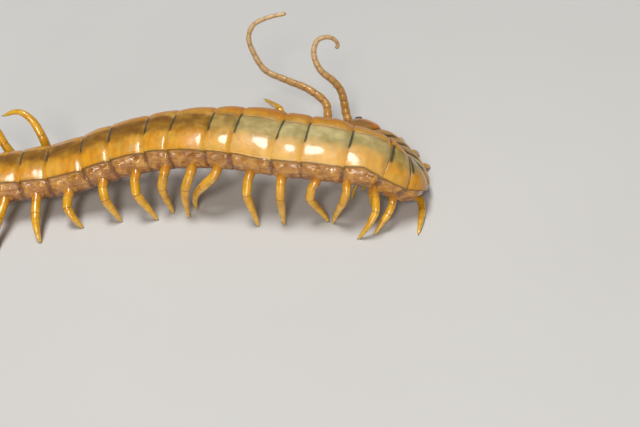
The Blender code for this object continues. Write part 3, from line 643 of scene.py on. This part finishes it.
def tube_rings(path, alongs, radii, sides, flatten=1.0, reach=0.3):
    """Round rings along a path, or rings that are flattened from top to bottom."""
    rights, ups = ring_frames(path, alongs, reach=reach)
    turn = np.linspace(0, 2 * math.pi, sides, endpoint=False)
    across = np.sin(turn)[None, :, None] * rights[:, None, :]
    rise = np.cos(turn)[None, :, None] * ups[:, None, :] * flatten
    return path.point(np.asarray(alongs))[:, None, :] + (across + rise) * np.asarray(radii)[:, None, None]


def leg_root(number, side):
    along = root_along(number, side)
    middle, forward, right, up = trunk_frame(along)
    out, level = root_place(number, side)
    drawn_in = at(LEFT_SHARE_AT, along) if side < 0 else 1.0
    across = (out * at(WIDTH_AT, along) / 2 + SOCKET_BULGE) * drawn_in
    skin = middle + right * side * across + up * (level - 0.5) * at(HEIGHT_AT, along)
    leave = unit(right * side * 0.85 - up * 0.53)
    if is_inner(number, side):
        leave = unit(right * side * 0.25 - up)
    elif side > 0 and number in OUTER_LEGS:
        leave = unit(right * 0.84 + up * 0.54)
    return skin, leave, forward


def bezier(start, first, second, end, steps=12):
    t = np.linspace(0, 1, steps + 1)[:, None]
    left = 1 - t
    return start * left ** 3 + first * 3 * t * left ** 2 + second * 3 * t * t * left + end * t ** 3


def leg_curve(number, side):
    """The smooth line of a leg, the spot where it leaves the skin, and the way it leaves."""
    skin, leave, forward = leg_root(number, side)
    root = skin + leave * GAP
    if side < 0 and number in RAISED_LEFT:
        raised = [np.array(point) for point in RAISED_LEFT[number]]
        return Path((root, root + leave * 0.5, *raised)), skin, leave
    if side > 0 or number in LEFT_FEET:
        x, y, bow = RIGHT_FEET[number] if side > 0 else LEFT_FEET[number]
        foot = np.array((x, y, 0.0))
    else:
        flat_out = unit((leave[0], leave[1], 0.0))
        reach = min(LEFT_REACH[1], math.sqrt(max(LEFT_REACH[0] ** 2, LEFT_SPAN ** 2 - root[2] ** 2)))
        foot = root + flat_out * reach + forward * STRIDE * math.sin(number * 2 * math.pi / STRIDE_LEGS)
        foot[2] = 0.0
        bow = LEFT_BOW
    bend = unit((forward[0], forward[1], 0.0)) * bow
    reach = OUTER_KNEE_REACH if side > 0 and number in OUTER_LEGS else KNEE_REACH
    knee = root + leave * reach * np.linalg.norm(foot - root) - bend
    shin = foot + np.array((0.0, 0.0, SHIN_RISE * root[2])) + (root - foot) * SHIN_LEAN - bend
    return Path(bezier(root, knee, shin, foot)), skin, leave


def jointed(line, start, joints, ease):
    """Straight articles between joints on a smooth line, with the bends eased."""
    straight = Path([start] + [line.point(share * line.length) for share in joints], smooth=False)
    window = ease * straight.length
    eased = []
    for place in np.linspace(0, straight.length, 120):
        around = np.clip(np.linspace(place - window, place + window, 7), 0, straight.length)
        eased.append(straight.point(around).mean(axis=0))
    eased[0], eased[-1] = straight.points[0], straight.points[-1]
    return Path(eased, smooth=False), straight


def horn_spike(claws, base, reach, radii, sides, first_share):
    """A short straight point of dark horn."""
    spike = Path((base, base + reach), smooth=False)
    places = np.linspace(0, 1, len(radii))
    claws.add(tube_rings(spike, places * spike.length, radii, sides),
              share=np.linspace(first_share, 1, len(radii))[:, None])


def leg_pieces(legs, claws, line, skin, leave, size, radii, joints, ease=BEND_EASE):
    """One leg's shell, two spurs at its last bends and the claw at its tip."""
    path, straight = jointed(line, skin - leave * LEG_DEPTH, joints, ease)
    marks = straight.distance[1:] / straight.length
    near_bends = [marks[1:-1] + shift for shift in (-0.012, -0.004, 0.004, 0.012)]
    shares = np.sort(np.concatenate((np.linspace(0, 1, LEG_ROWS), *near_bends)))
    leg_share = np.interp(shares, np.concatenate(((0.0,), marks)), np.concatenate(((0.0,), joints)))
    rings = tube_rings(path, shares * path.length, at(radii, leg_share) * size, LEG_SIDES)
    to_joint = np.abs(leg_share[:, None] - np.array(joints[1:-1])[None, :]).min(axis=1) * line.length
    legs.add(rings, share=leg_share[:, None], to_joint=to_joint[:, None])
    for joint, turn_to in ((joints[-3], 0.9), (joints[-2], -0.6)):
        spot = np.interp(joint, joints, marks) * path.length - 0.08
        rights, ups = ring_frames(path, (spot * 0.5, spot))
        out_way = unit(rights[-1] * math.sin(turn_to) - ups[-1] * math.cos(turn_to))
        base = path.point(spot) + out_way * at(radii, joint) * size * 0.8
        reach = (out_way * 0.5 + path.direction(spot)) * SPUR_LENGTH * size
        horn_spike(claws, base, reach, SPUR_RADII * size, 6, 0.3)
    tip, way = path.point(path.length), path.direction(path.length, 0.5)
    hook, point = tip + way * CLAW_HOOK * size, tip + way * CLAW_REACH * size
    hook[2], point[2] = max(hook[2] + 0.05, 0.08), max(point[2], 0.02)
    claw = Path((tip - way * CLAW_DEPTH, tip, hook, point))
    places = np.linspace(0, 1, 9)
    rings = tube_rings(claw, places * claw.length, at(CLAW_RADII, places) * size, 10)
    claws.add(rings, share=places[:, None])


OCHRE = ((0.52, 0.245, 0.004), (0.70, 0.375, 0.020))
OCHRE_AT_TIP = (0.62, 0.37, 0.035)
OCHRE_AT_ROOT = (0.46, 0.17, 0.012)
RING_BROWN = (0.24, 0.08, 0.006)
HORN_BROWN, HORN_BLACK = (0.42, 0.17, 0.02), (0.035, 0.012, 0.006)
LIMB = Finish("leg_shell", Coat_Weight=0.9, Coat_Roughness=0.06, IOR=1.48, Subsurface_Weight=0.22,
              Subsurface_Radius=(1.0, 0.55, 0.12), Subsurface_Scale=0.0008)
share = LIMB.painted("share")
rings_at_bends = LIMB.painted("to_joint").ramp(0.12, 0.03) * (0.25 + share.band(0.37, 0.12) * 0.35)
ochre = LIMB.clouds(LIMB.noise(1.3, 3.0), OCHRE)
ochre = LIMB.mix(share.ramp(0.55, 1.0), ochre, OCHRE_AT_TIP)
ochre = LIMB.mix(share.ramp(0.16, -0.02) * 0.7, ochre, OCHRE_AT_ROOT)
LIMB.set("Base Color", LIMB.mix(rings_at_bends, ochre, RING_BROWN))
LIMB.set("Roughness", LIMB.noise(0.5).ramp(0.2, 0.8) * 0.14 + 0.18)
LIMB.bump(LIMB.noise(0.22, 4.0, 0.6) * 0.2 + LIMB.noise(1.0) * 0.5 - rings_at_bends * 0.25, 0.06, 0.8)

HORN = Finish("claw_horn", Coat_Weight=0.8, Coat_Roughness=0.05, IOR=1.55)
HORN.set("Base Color", HORN.mix(HORN.painted("share").ramp(0.1, 0.75), HORN_BROWN, HORN_BLACK))
HORN.set("Roughness", HORN.noise(0.3).ramp(0.2, 0.8) * 0.1 + 0.12)

legs, claws = Skin(), Skin()
for side in (1, -1):
    for number in range(1, SEGMENTS):
        line, skin, leave = leg_curve(number, side)
        size, ease = at(LEG_SIZE, number), BEND_EASE
        if is_inner(number, side):
            size = INNER_LEG_SIZE
        elif side < 0 and number in RAISED_LEFT:
            size, ease = RAISED_LEG_SIZE[number], RAISED_BEND_EASE
        leg_pieces(legs, claws, line, skin, leave, size, LEG_RADII, LEG_JOINTS, ease)


# The last legs: one longer and stouter pair of the same hard tubes, trailed behind, tips on the floor.
# They are fixed at the tail end of the skin, and short dark spines stand inside their first articles.
TAIL_REACH = 20.6
TAIL_SPREAD = math.radians(17)
TAIL_ROOT, TAIL_DEPTH, TAIL_RISE = (2.2, -0.3), 1.1, 2.1
TAIL_RADII = ((0.0, 0.80), (0.06, 0.86), (0.16, 0.98), (0.255, 0.84), (0.27, 0.76), (0.285, 0.80),
              (0.38, 0.84), (0.49, 0.70), (0.50, 0.62), (0.515, 0.64), (0.61, 0.66), (0.70, 0.54),
              (0.72, 0.46), (0.735, 0.48), (0.82, 0.44), (0.88, 0.36), (0.90, 0.31), (0.915, 0.31),
              (0.97, 0.22), (0.985, 0.14))
TAIL_JOINTS = (0.0, 0.05, 0.27, 0.50, 0.72, 0.90, 0.985)
TAIL_BENDS = ((0.28, 1.0, 0.9), (0.55, 0.9, 1.1), (0.8, 0.4, 0.6), (0.95, -0.35, 0.1))
SPINES = ((0.09, -1.3, 1), (0.13, -1.0, 1), (0.17, -1.4, 1), (0.21, -1.1, -1), (0.235, -0.2, -1))
SPINE_RADII, SPINE_LENGTH, SPINE_OUT = np.array((0.13, 0.10, 0.05, 0.008)), 0.30, 0.82


def tail_curve(side):
    middle, forward, right, up = trunk_frame(TRUNK_LENGTH)
    outward = right * side
    root = middle - forward * (GAP * 1.5) + outward * TAIL_ROOT[0] + up * TAIL_ROOT[1]
    away = -forward * math.cos(TAIL_SPREAD) + outward * math.sin(TAIL_SPREAD)
    away = unit((away[0], away[1], 0.0))
    points = [root, root - forward * 0.9]
    for share, lift, bend in TAIL_BENDS:
        points.append(root + away * TAIL_REACH * share + outward * bend + np.array((0, 0, TAIL_RISE * lift)))
    tip = root + away * TAIL_REACH
    tip[2] = 0.0
    return Path(points + [tip]), root, -forward


for side in (1, -1):
    line, root, leave = tail_curve(side)
    leg_pieces(legs, claws, line, root - leave * TAIL_DEPTH, leave, 1.0, TAIL_RADII, TAIL_JOINTS)
    for share, turn_to, rise in SPINES:
        spot = share * line.length
        rights, ups = ring_frames(line, (0.0, spot))
        inward = -rights[-1] * side * abs(math.sin(turn_to)) + ups[-1] * math.cos(turn_to) * rise
        inward = unit(inward)
        base = line.point(spot) + inward * SPINE_OUT
        horn_spike(claws, base, (inward + line.direction(spot) * 0.8) * SPINE_LENGTH, SPINE_RADII, 8, 0.2)
leg_nodes = [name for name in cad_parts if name.startswith(("leg_", "last_leg_"))]
legs.make("legs", LIMB.material, leg_nodes, "leg")
claws.make("leg_claws", HORN.material, slot="leg")


# The head: a flat, rounded capsule, leathery at the sides and below, with a hard reddish shield on top.
# It is fixed to the front of the trunk and looks down a little. The shield laps down over both sides.
HEAD_LENGTH = 5.2
HEAD_RINGS = ((0.00, 2.15, 1.75, -0.55), (0.10, 2.45, 1.95, -0.65), (0.30, 2.70, 2.05, -0.75),
              (0.52, 2.72, 2.02, -0.80), (0.72, 2.45, 1.80, -0.75), (0.87, 1.95, 1.45, -0.60),
              (0.96, 1.30, 1.05, -0.30), (1.00, 0.70, 0.75, 0.00))
HEAD_SHARES = 1 - (1 - np.linspace(0, 1, 44)) ** 1.6
HEAD_SCALE = 1.12
HEAD_DIP = math.radians(2.0)
HEAD_ROLL = math.radians(10.0)
HEAD_SQUARENESS = 2.5
UNDER_SHIELD = 0.10
SHIELD_WIDTH = math.radians(112)
SHIELD_THICKNESS = 0.13
REDDISH = ((0.44, 0.115, 0.003), (0.60, 0.185, 0.006))
SHIELD_OLIVE = (0.19, 0.12, 0.025)
SHIELD_RIM_BROWN = (0.12, 0.035, 0.006)


def head_frame():
    """The middle of the head's rear edge, and the head's own forward, right and up."""
    middle = TRUNK.point(0.0)
    forward = -TRUNK.direction(0.0, reach=0.8)
    right = unit(np.cross(forward, (0.0, 0.0, 1.0)))
    up = np.cross(right, forward)
    ahead = forward * math.cos(HEAD_DIP) - up * math.sin(HEAD_DIP)
    right = right * math.cos(HEAD_ROLL) - np.cross(right, ahead) * math.sin(HEAD_ROLL)
    return middle + ahead * GAP, ahead, right, np.cross(right, ahead)


HEAD = head_frame()


def on_head(across, ahead, lift):
    origin, forward, right, up = HEAD
    across, ahead, lift = (np.asarray(value, float)[..., None] for value in (across, ahead, lift))
    return origin + (right * across + forward * ahead + up * lift) * HEAD_SCALE


def head_outline(share):
    """The half width, top and underside at a share of the head's length."""
    shares, *sizes = zip(*HEAD_RINGS)
    fine = [Path([(place, value, 0.0) for place, value in zip(shares, values)]) for values in sizes]
    return [np.interp(share, line.points[:, 0], line.points[:, 1]) for line in fine]


def squared(turn, squareness):
    """Sine and cosine of a turn, pushed out towards the corners of a box."""
    sine, cosine = np.sin(turn)[None, :], np.cos(turn)[None, :]
    power = 2 / squareness
    return np.sign(sine) * np.abs(sine) ** power, np.sign(cosine) * np.abs(cosine) ** power


def head_rings(turn, shrink):
    """Rings round the head: no turn is the top, and a quarter turn the right side."""
    half_width, top, underside = (value[:, None] for value in head_outline(HEAD_SHARES))
    out, rise = squared(turn, HEAD_SQUARENESS)
    lift = rise * ((top - underside) / 2 - shrink) + (top + underside) / 2
    return out * (half_width - shrink), lift


def head_piece(across, shares, lift):
    return on_head(across, (shares * HEAD_LENGTH)[:, None] * np.ones_like(across), lift)


across, lift = head_rings(np.linspace(0, 2 * math.pi, 64, endpoint=False), UNDER_SHIELD)
head = Skin().add(head_piece(across, HEAD_SHARES, lift),
                  height=0.3, socket=0.3, crease=0.0, hole=0.0, fold=0.5)
head.make("head_skin", SOFT.material, ("head", "mouthparts"), "head_shell")

turn = np.sin(np.linspace(-math.pi / 2, math.pi / 2, 57)) * SHIELD_WIDTH
over, under = head_rings(turn, 0.0), head_rings(turn[::-1] * 0.995, SHIELD_THICKNESS)
across, lift = (np.concatenate(pair, axis=1) for pair in zip(over, under))
shield = Skin().add(head_piece(across, HEAD_SHARES, lift),
                    across=np.concatenate((turn, turn[::-1]))[None, :] / SHIELD_WIDTH)
CAP = Finish("head_shield", Coat_Weight=0.6, Coat_Roughness=0.12, Coat_IOR=1.40, IOR=1.40,
             Subsurface_Weight=0.06, Subsurface_Radius=(1.0, 0.5, 0.15), Subsurface_Scale=0.0006)
across = CAP.painted("across")
cloud = CAP.noise(1.3, 4.0, 0.55)
colour = CAP.clouds(cloud, REDDISH)
colour = CAP.mix((across.size() + (cloud - 0.5) * 0.3).ramp(0.30, 0.08) * 0.7, colour, SHIELD_OLIVE)
colour = CAP.mix(across.size().band(0.93, 0.03) * 0.7, colour, SHIELD_RIM_BROWN)
CAP.set("Base Color", colour)
CAP.set("Roughness", cloud.ramp(0.2, 0.8) * 0.14 + 0.26)
pits = CAP.noise(0.22, 2.0, 0.5).ramp(0.62, 0.78)
CAP.bump(CAP.noise(1.6, 2.0) * 0.8 - pits * 0.3, 0.10, 0.8)
shield.make("head_shield", CAP.material, slot="head_shell")


# The venom claws: a pair of stout, glossy pincers of thick horn, hinged to a broad plate under the head.
# Each curves forward and in to a dark hollow point. The plate has the head shield's finish.
BREAST_RINGS = ((-0.02, 1.9, -1.35, -2.15), (0.15, 2.30, -1.20, -2.35), (0.45, 2.35, -1.15, -2.35),
                (0.68, 1.75, -1.15, -2.15), (0.80, 1.20, -1.20, -1.85))
BREAST_SHARES = np.linspace(-0.02, 0.80, 24)
BREAST_SQUARENESS = 3.0
CLAW_ROUTE = ((3.2, 0.9, -1.45), (3.4, 1.6, -1.35), (3.4, 2.9, -1.20), (2.85, 4.3, -1.10),
              (1.85, 5.2, -1.15), (0.62, 5.62, -1.3))
VENOM_CLAW_RADII = ((0.0, 0.66), (0.12, 0.84), (0.28, 0.86), (0.40, 0.78), (0.44, 0.70), (0.47, 0.72),
                    (0.53, 0.66), (0.56, 0.59), (0.60, 0.60), (0.68, 0.52), (0.80, 0.38), (0.92, 0.19),
                    (1.0, 0.03))
CLAW_AMBER = ((0.56, 0.22, 0.02), (0.68, 0.32, 0.04))
CLAW_RED, CLAW_BLACK = (0.20, 0.045, 0.010), (0.018, 0.008, 0.006)

ring_shares, *ring_sizes = zip(*BREAST_RINGS)
half_width, top, underside = (np.interp(BREAST_SHARES, ring_shares, sizes)[:, None] for sizes in ring_sizes)
turn = np.linspace(0, 2 * math.pi, 48, endpoint=False)
out, rise = squared(turn, BREAST_SQUARENESS)
lift = rise * (top - underside) / 2 + (top + underside) / 2
breast = Skin().add(head_piece(out * half_width, BREAST_SHARES, lift),
                    across=np.sin(turn)[None, :] * 0.8)
breast.make("forcipule_plate_shell", CAP.material, ("forcipule_plate",), "head_shell")

FANG = Finish("venom_claws", Coat_Weight=0.9, Coat_Roughness=0.05, IOR=1.52)
share = FANG.painted("share")
colour = FANG.clouds(FANG.noise(0.9), CLAW_AMBER)
colour = FANG.mix(share.ramp(0.50, 0.74), colour, CLAW_RED)
colour = FANG.mix(share.ramp(0.74, 0.92), colour, CLAW_BLACK)
FANG.set("Base Color", colour)
FANG.set("Roughness", FANG.noise(0.4).ramp(0.2, 0.8) * 0.12 + 0.14)
SIDES = {"right": 1, "left": -1}
for name, side in SIDES.items():
    route = [on_head(across * side, ahead, lift) for across, ahead, lift in CLAW_ROUTE]
    behind = route[0] * 2 - route[1] + (route[0] - route[1]) * 0.2
    line = Path([behind] + route)
    places = np.linspace(0, 1, 60)
    rings = tube_rings(line, places * line.length, at(VENOM_CLAW_RADII, places), 24)
    claw = Skin().add(rings, share=places[:, None])
    claw.make(f"venom_claw_{name}", FANG.material, (f"forcipule_{name}",), "venom_claw")


# The mouth palps and tooth plates: two short jointed feelers, and two flat lobes with four dark teeth each.
# They are of the same horn as the claws. The lobes are the front edge of the broad plate.
PALP_ROUTE = ((0.95, 3.7, -0.55), (1.15, 4.5, -0.80), (0.95, 5.2, -0.82), (0.45, 5.55, -0.72))
PALP_RADII = ((0, 0.34), (0.3, 0.36), (0.48, 0.30), (0.52, 0.32), (0.75, 0.29), (0.92, 0.20), (1, 0.04))
LOBE_ROUTE = ((0.46, 3.7, -1.50), (0.46, 4.15, -1.45), (0.44, 4.50, -1.42))
LOBE_RADII, LOBE_FLATNESS = ((0, 0.42), (0.6, 0.44), (0.9, 0.38), (1, 0.26)), 0.45
TOOTH_PLACES = (0.16, 0.36, 0.56, 0.76)
TOOTH_ROOT, TOOTH_EDGE = (4.42, -1.42), (4.66, -1.40)
TOOTH_RADII = np.array((0.10, 0.10, 0.07, 0.02))
mouth = Skin()
for side in SIDES.values():
    places = np.linspace(0, 1, 30)
    palp = Path([on_head(across * side, ahead, lift) for across, ahead, lift in PALP_ROUTE])
    rings = tube_rings(palp, places * palp.length, at(PALP_RADII, places), 16)
    mouth.add(rings, share=places[:, None] * 0.55)
    lobe = Path([on_head(across * side, ahead, lift) for across, ahead, lift in LOBE_ROUTE])
    rings = tube_rings(lobe, places * lobe.length, at(LOBE_RADII, places), 20, LOBE_FLATNESS)
    mouth.add(rings, share=places[:, None] * 0.5)
    for spot in TOOTH_PLACES:
        tooth = Path((on_head(spot * side, *TOOTH_ROOT), on_head(spot * side, *TOOTH_EDGE)), smooth=False)
        mouth.add(tube_rings(tooth, np.linspace(0, 1, 4) * tooth.length, TOOTH_RADII, 8), share=1.0)
mouth.make("mouth_palps_and_teeth", FANG.material, slot="head_shell")


# The eyes: four small black lenses on each side of the head, behind the antenna.
# Each is a low glassy dome of clear horn, grown into a dark field on the shield's edge.
EYE_LENSES = ((0.80, 0.62, 0.28), (0.70, 0.66, 0.30), (0.73, 0.40, 0.27), (0.81, 0.36, 0.24))
LENS_HEIGHTS = np.array((-0.6, 0.0, 0.35, 0.62, 0.84, 0.97, 1.05))
LENS_WIDTHS = np.array((1.0, 1.06, 1.0, 0.84, 0.60, 0.30, 0.08))
FIELD_HEIGHTS, FIELD_WIDTHS = np.array((0.0, 0.45, 0.55, 0.65)), np.array((0.62, 0.58, 0.50, 0.30))
FIELD_ENDS = (-0.5, 0.2)
EYE_BROWN, EYE_BLACK = (0.05, 0.02, 0.01), (0.006, 0.008, 0.008)
BLACK = Finish("eye_lens", Coat_Weight=1.0, Coat_Roughness=0.02, IOR=1.5)
BLACK.set("Base Color", BLACK.mix(BLACK.painted("share").ramp(0.0, 0.5), EYE_BROWN, EYE_BLACK))
BLACK.set("Roughness", BLACK.noise(0.2).ramp(0.2, 0.8) * 0.04 + 0.05)
for name, side in SIDES.items():
    origin, forward, right, up = HEAD
    outward = unit(right * side * 0.86 + up * 0.42 + forward * 0.28)
    lenses, middles = Skin(), []
    for share, height, radius in EYE_LENSES:
        half_width, top, underside = head_outline(np.array((share,)))
        turn = math.radians(90 - 70 * height)
        across = math.sin(turn) ** 0.8 * half_width[0]
        lift = (top[0] + underside[0]) / 2 + math.cos(turn) ** 0.8 * (top[0] - underside[0]) / 2
        middle = on_head(across * side, share * HEAD_LENGTH, lift)
        heights = LENS_HEIGHTS * radius
        stalk = Path((middle + outward * heights[0], middle + outward * heights[-1]), smooth=False)
        rings = tube_rings(stalk, heights - heights[0], LENS_WIDTHS * radius, 20)
        lenses.add(rings, share=np.linspace(0, 1, len(heights))[:, None])
        middles.append(middle)
    middle = np.mean(middles, axis=0)
    field = Path([middle + outward * end for end in FIELD_ENDS], smooth=False)
    lenses.add(tube_rings(field, FIELD_HEIGHTS, FIELD_WIDTHS, 24), share=0.2)
    lenses.make(f"eye_lenses_{name}", BLACK.material, (f"eye_{name}",), "eye")


# The antennae: tapered chains of seventeen horn beads, held up and curled, set in the front of the head.
# The first beads are bare and glossy, and the rest are dull with fine down.
ANTENNA_ROOT = (1.15, 4.95, 0.75)
ANTENNA_ROUTES = {
    "right": ((4.6, 19.2, 7.0), (3.6, 19.6, 8.6), (2.0, 20.1, 10.1), (1.2, 21.1, 11.6), (1.2, 22.3, 12.7),
              (1.9, 23.2, 13.5), (3.1, 23.3, 13.8), (4.2, 23.4, 13.3), (4.7, 23.3, 12.4), (4.4, 23.2, 11.8)),
    "left": ((2.2, 18.6, 5.6), (0.0, 20.4, 7.0), (-3.2, 22.6, 7.6), (-6.2, 24.6, 8.4), (-7.6, 26.0, 10.4),
             (-8.2, 27.0, 12.6), (-7.4, 27.8, 14.2), (-5.4, 28.2, 15.0), (-2.4, 28.4, 15.4))}
ANTENNA_BEADS, RINGS_IN_A_BEAD = 17, 9
ANTENNA_RADIUS = (0.68, 0.28)
BEAD_WAIST = 0.88
ANTENNA_DEPTH = 0.7
BEAD_TAN, BEAD_PALE, BEAD_JOINT = (0.46, 0.22, 0.035), (0.50, 0.32, 0.14), (0.26, 0.12, 0.03)
BEAD = Finish("antenna_beads", Coat_Weight=0.35, Coat_Roughness=0.15, IOR=1.45, Subsurface_Weight=0.15,
              Subsurface_Radius=(1.0, 0.6, 0.25), Subsurface_Scale=0.0006, Sheen_Weight=0.15)
share = BEAD.painted("share")
colour = BEAD.mix(share.ramp(0.1, 0.75), BEAD_TAN, BEAD_PALE)
colour = BEAD.mix(BEAD.painted("joint").ramp(0.55, 1.0) * 0.55, colour, BEAD_JOINT)
BEAD.set("Base Color", colour)
BEAD.set("Roughness", share.ramp(0.25, 0.45) * 0.26 + 0.22)
BEAD.bump(BEAD.noise(0.16, 3.0, 0.6), 0.05, 0.7)
antennae = {}
for name, side in SIDES.items():
    origin, forward, right, up = HEAD
    leave = unit(forward * 0.75 + right * side * 0.35 + up * 0.55)
    root = on_head(ANTENNA_ROOT[0] * side, *ANTENNA_ROOT[1:]) + leave * GAP
    line = Path((root, root + leave, *(np.array(point) for point in ANTENNA_ROUTES[name])))
    places = np.linspace(0, 1, ANTENNA_BEADS * RINGS_IN_A_BEAD + 1)
    inside = (places * ANTENNA_BEADS) % 1.0
    swell = BEAD_WAIST + (1 - BEAD_WAIST) * np.sin(math.pi * inside) ** 0.5
    radius = np.interp(places, (0, 1), ANTENNA_RADIUS) * swell
    radius[-1] *= 0.3
    sunk = Path(np.concatenate(([root - leave * ANTENNA_DEPTH], line.points)), smooth=False)
    alongs = np.concatenate(([0.0], ANTENNA_DEPTH + places * line.length))
    rings = tube_rings(sunk, alongs, np.concatenate(([radius[0] * 0.9], radius)), 18)
    beads = Skin().add(rings, share=np.concatenate(([0.0], places))[:, None],
                       joint=np.concatenate(([0.0], np.abs(inside * 2 - 1)))[:, None])
    antennae[name] = beads.make(f"antenna_beads_{name}", BEAD.material, (f"antenna_{name}",), "antenna")


# The down on the antennae: short pale hairs, growing straight out of every bead but the first few.
# One tree of nodes scatters them over both antennae. Its inputs are in metres.
DOWN_SIZES = {"Hairs per square metre": 6.0e7, "Hair length": 0.00011, "Hair thickness": 0.000009,
              "First share": 0.3}
DOWN_SEED, LENGTH_SEED = 7, 3
DOWN_PALE = ((0.42, 0.27, 0.12), (0.60, 0.46, 0.28))
DOWN = Finish("antenna_down", Sheen_Weight=0.3, Roughness=0.5)
DOWN.set("Base Color", DOWN.mix(DOWN.noise(0.8), *DOWN_PALE))

down_tree = bpy.data.node_groups.new("antenna_down", "GeometryNodeTree")
down_tree.interface.new_socket("Beads", in_out="INPUT", socket_type="NodeSocketGeometry")
down_inputs = {}
for name in DOWN_SIZES:
    socket = down_tree.interface.new_socket(name, in_out="INPUT", socket_type="NodeSocketFloat")
    down_inputs[name] = socket.identifier
down_tree.interface.new_socket("Down", in_out="OUTPUT", socket_type="NodeSocketGeometry")
add = Nodes(down_tree).node
given = add("NodeGroupInput").outputs
bead_share = add("GeometryNodeInputNamedAttribute", {"Name": "share"}, data_type="FLOAT").outputs
hairy = add("FunctionNodeCompare", {"A": bead_share["Attribute"], "B": given["First share"]},
            operation="GREATER_THAN")
spots = add("GeometryNodeDistributePointsOnFaces", {
    "Mesh": given["Beads"], "Selection": hairy.outputs["Result"],
    "Density": given["Hairs per square metre"], "Seed": DOWN_SEED}).outputs
hair = add("GeometryNodeMeshCone", {
    "Vertices": 4, "Radius Bottom": given["Hair thickness"], "Radius Top": 0.0,
    "Depth": given["Hair length"]})
length = add("FunctionNodeRandomValue", {"Min": 0.6, "Max": 1.15, "Seed": LENGTH_SEED}, data_type="FLOAT")
planted = add("GeometryNodeInstanceOnPoints", {
    "Points": spots["Points"], "Instance": hair.outputs["Mesh"],
    "Rotation": spots["Rotation"], "Scale": length.outputs["Value"]})
real = add("GeometryNodeRealizeInstances", {"Geometry": planted.outputs["Instances"]})
dressed = add("GeometryNodeSetMaterial", {"Geometry": real.outputs["Geometry"], "Material": DOWN.material})
add("NodeGroupOutput", {"Down": dressed.outputs["Geometry"]})

for name, beads in antennae.items():
    maker = bpy.data.objects.new("down_maker", beads.data)
    bpy.context.scene.collection.objects.link(maker)
    modifier = maker.modifiers.new("down", "NODES")
    modifier.node_group = down_tree
    for input_name, value in DOWN_SIZES.items():
        modifier[down_inputs[input_name]] = value
    hairs = bpy.data.meshes.new_from_object(maker.evaluated_get(bpy.context.evaluated_depsgraph_get()))
    bpy.data.objects.remove(maker)
    hairs.name = f"antenna_down_{name}"
    down = bpy.data.objects.new(f"antenna_down_{name}", hairs)
    bpy.context.scene.collection.objects.link(down)
    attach(down, "root")


# The stage: a plain pale floor, four soft studio lights and a camera at the photograph's height and heading.
# The camera was solved from the photograph's outline, with the animal set on the floor.
# Lights and camera are placed in metres, from the middle of the animal.
FLOOR_HALF = 1.5
FLOOR_GREYS = ((0.55, 0.54, 0.52), (0.59, 0.58, 0.56))
FLASH_WHITE, RIM_WHITE = (1.0, 0.96, 0.90), (1.0, 0.90, 0.75)
LAMPS = (("overhead_softbox", (-0.037, -0.012, 0.725), (0.23, 0.36), 3.9, (1.0, 1.0, 1.0)),
         ("flash_by_the_camera", (-0.075, -0.62, 0.52), (0.21, 0.21), 2.7, FLASH_WHITE),
         ("low_front_strip", (-0.10, -0.80, 0.13), (0.60, 0.10), 2.2, FLASH_WHITE),
         ("rear_rim", (0.30, 0.90, 0.50), (0.50, 0.25), 0.2, RIM_WHITE))
SKY, SKY_STRENGTH = (0.86, 0.88, 0.92, 1.0), 0.14
CAMERA_ELEVATION = math.radians(38.0)
CAMERA_ROLL = math.radians(-5.0)
CAMERA_DISTANCE = 169.0
CAMERA_NEAREST = 0.005
FOCAL_PIXELS, PICTURE_PIXELS, SENSOR = 1242.15, 640, 36.0


def stand(thing, right, up, back, spot):
    """Puts a light or the camera in the scene, with its own right, up and back."""
    bpy.context.scene.collection.objects.link(thing)
    rows = [(*row, place) for row, place in zip(np.stack((right, up, back), axis=1), spot)]
    thing.matrix_world = Matrix(rows + [(0, 0, 0, 1)])


PALE = Finish("floor_pale", Roughness=0.65)
PALE.set("Base Color", PALE.mix(PALE.noise(40.0), *FLOOR_GREYS))
corners = [(x * FLOOR_HALF, y * FLOOR_HALF, 0) for x, y in ((-1, -1), (1, -1), (1, 1), (-1, 1))]
ground = bpy.data.meshes.new("floor")
ground.from_pydata(corners, [], [(0, 1, 2, 3)])
ground.materials.append(PALE.material)
floor = bpy.data.objects.new("floor", ground)
bpy.context.scene.collection.objects.link(floor)

for name, spot, size, watts, colour in LAMPS:
    lamp = bpy.data.lights.new(name, "AREA")
    lamp.shape = "ELLIPSE"
    lamp.size, lamp.size_y = size
    lamp.energy = watts
    lamp.color = colour
    back = unit(spot)
    right = unit(np.cross((0.0, 1.0, 0.01), back))
    stand(bpy.data.objects.new(name, lamp), right, np.cross(back, right), back, spot)
world = bpy.data.worlds.new("studio")
world.use_nodes = True
world.node_tree.nodes["Background"].inputs["Color"].default_value = SKY
world.node_tree.nodes["Background"].inputs["Strength"].default_value = SKY_STRENGTH
bpy.context.scene.world = world
bpy.context.scene.view_settings.view_transform = "Standard"

look = np.array((0.0, math.cos(CAMERA_ELEVATION), -math.sin(CAMERA_ELEVATION)))
level_right = np.array((1.0, 0.0, 0.0))
level_up = np.array((0.0, math.sin(CAMERA_ELEVATION), math.cos(CAMERA_ELEVATION)))
right = level_right * math.cos(CAMERA_ROLL) + level_up * math.sin(CAMERA_ROLL)
up = level_up * math.cos(CAMERA_ROLL) - level_right * math.sin(CAMERA_ROLL)
spot = (-look * CAMERA_DISTANCE - np.array((*CENTRE, 0.0))) * MILLIMETRE
lens = bpy.data.cameras.new("camera")
lens.sensor_width = SENSOR
lens.lens = SENSOR * FOCAL_PIXELS / PICTURE_PIXELS
lens.clip_start = CAMERA_NEAREST
camera = bpy.data.objects.new("camera", lens)
stand(camera, right, up, -look, spot)
bpy.context.scene.camera = camera
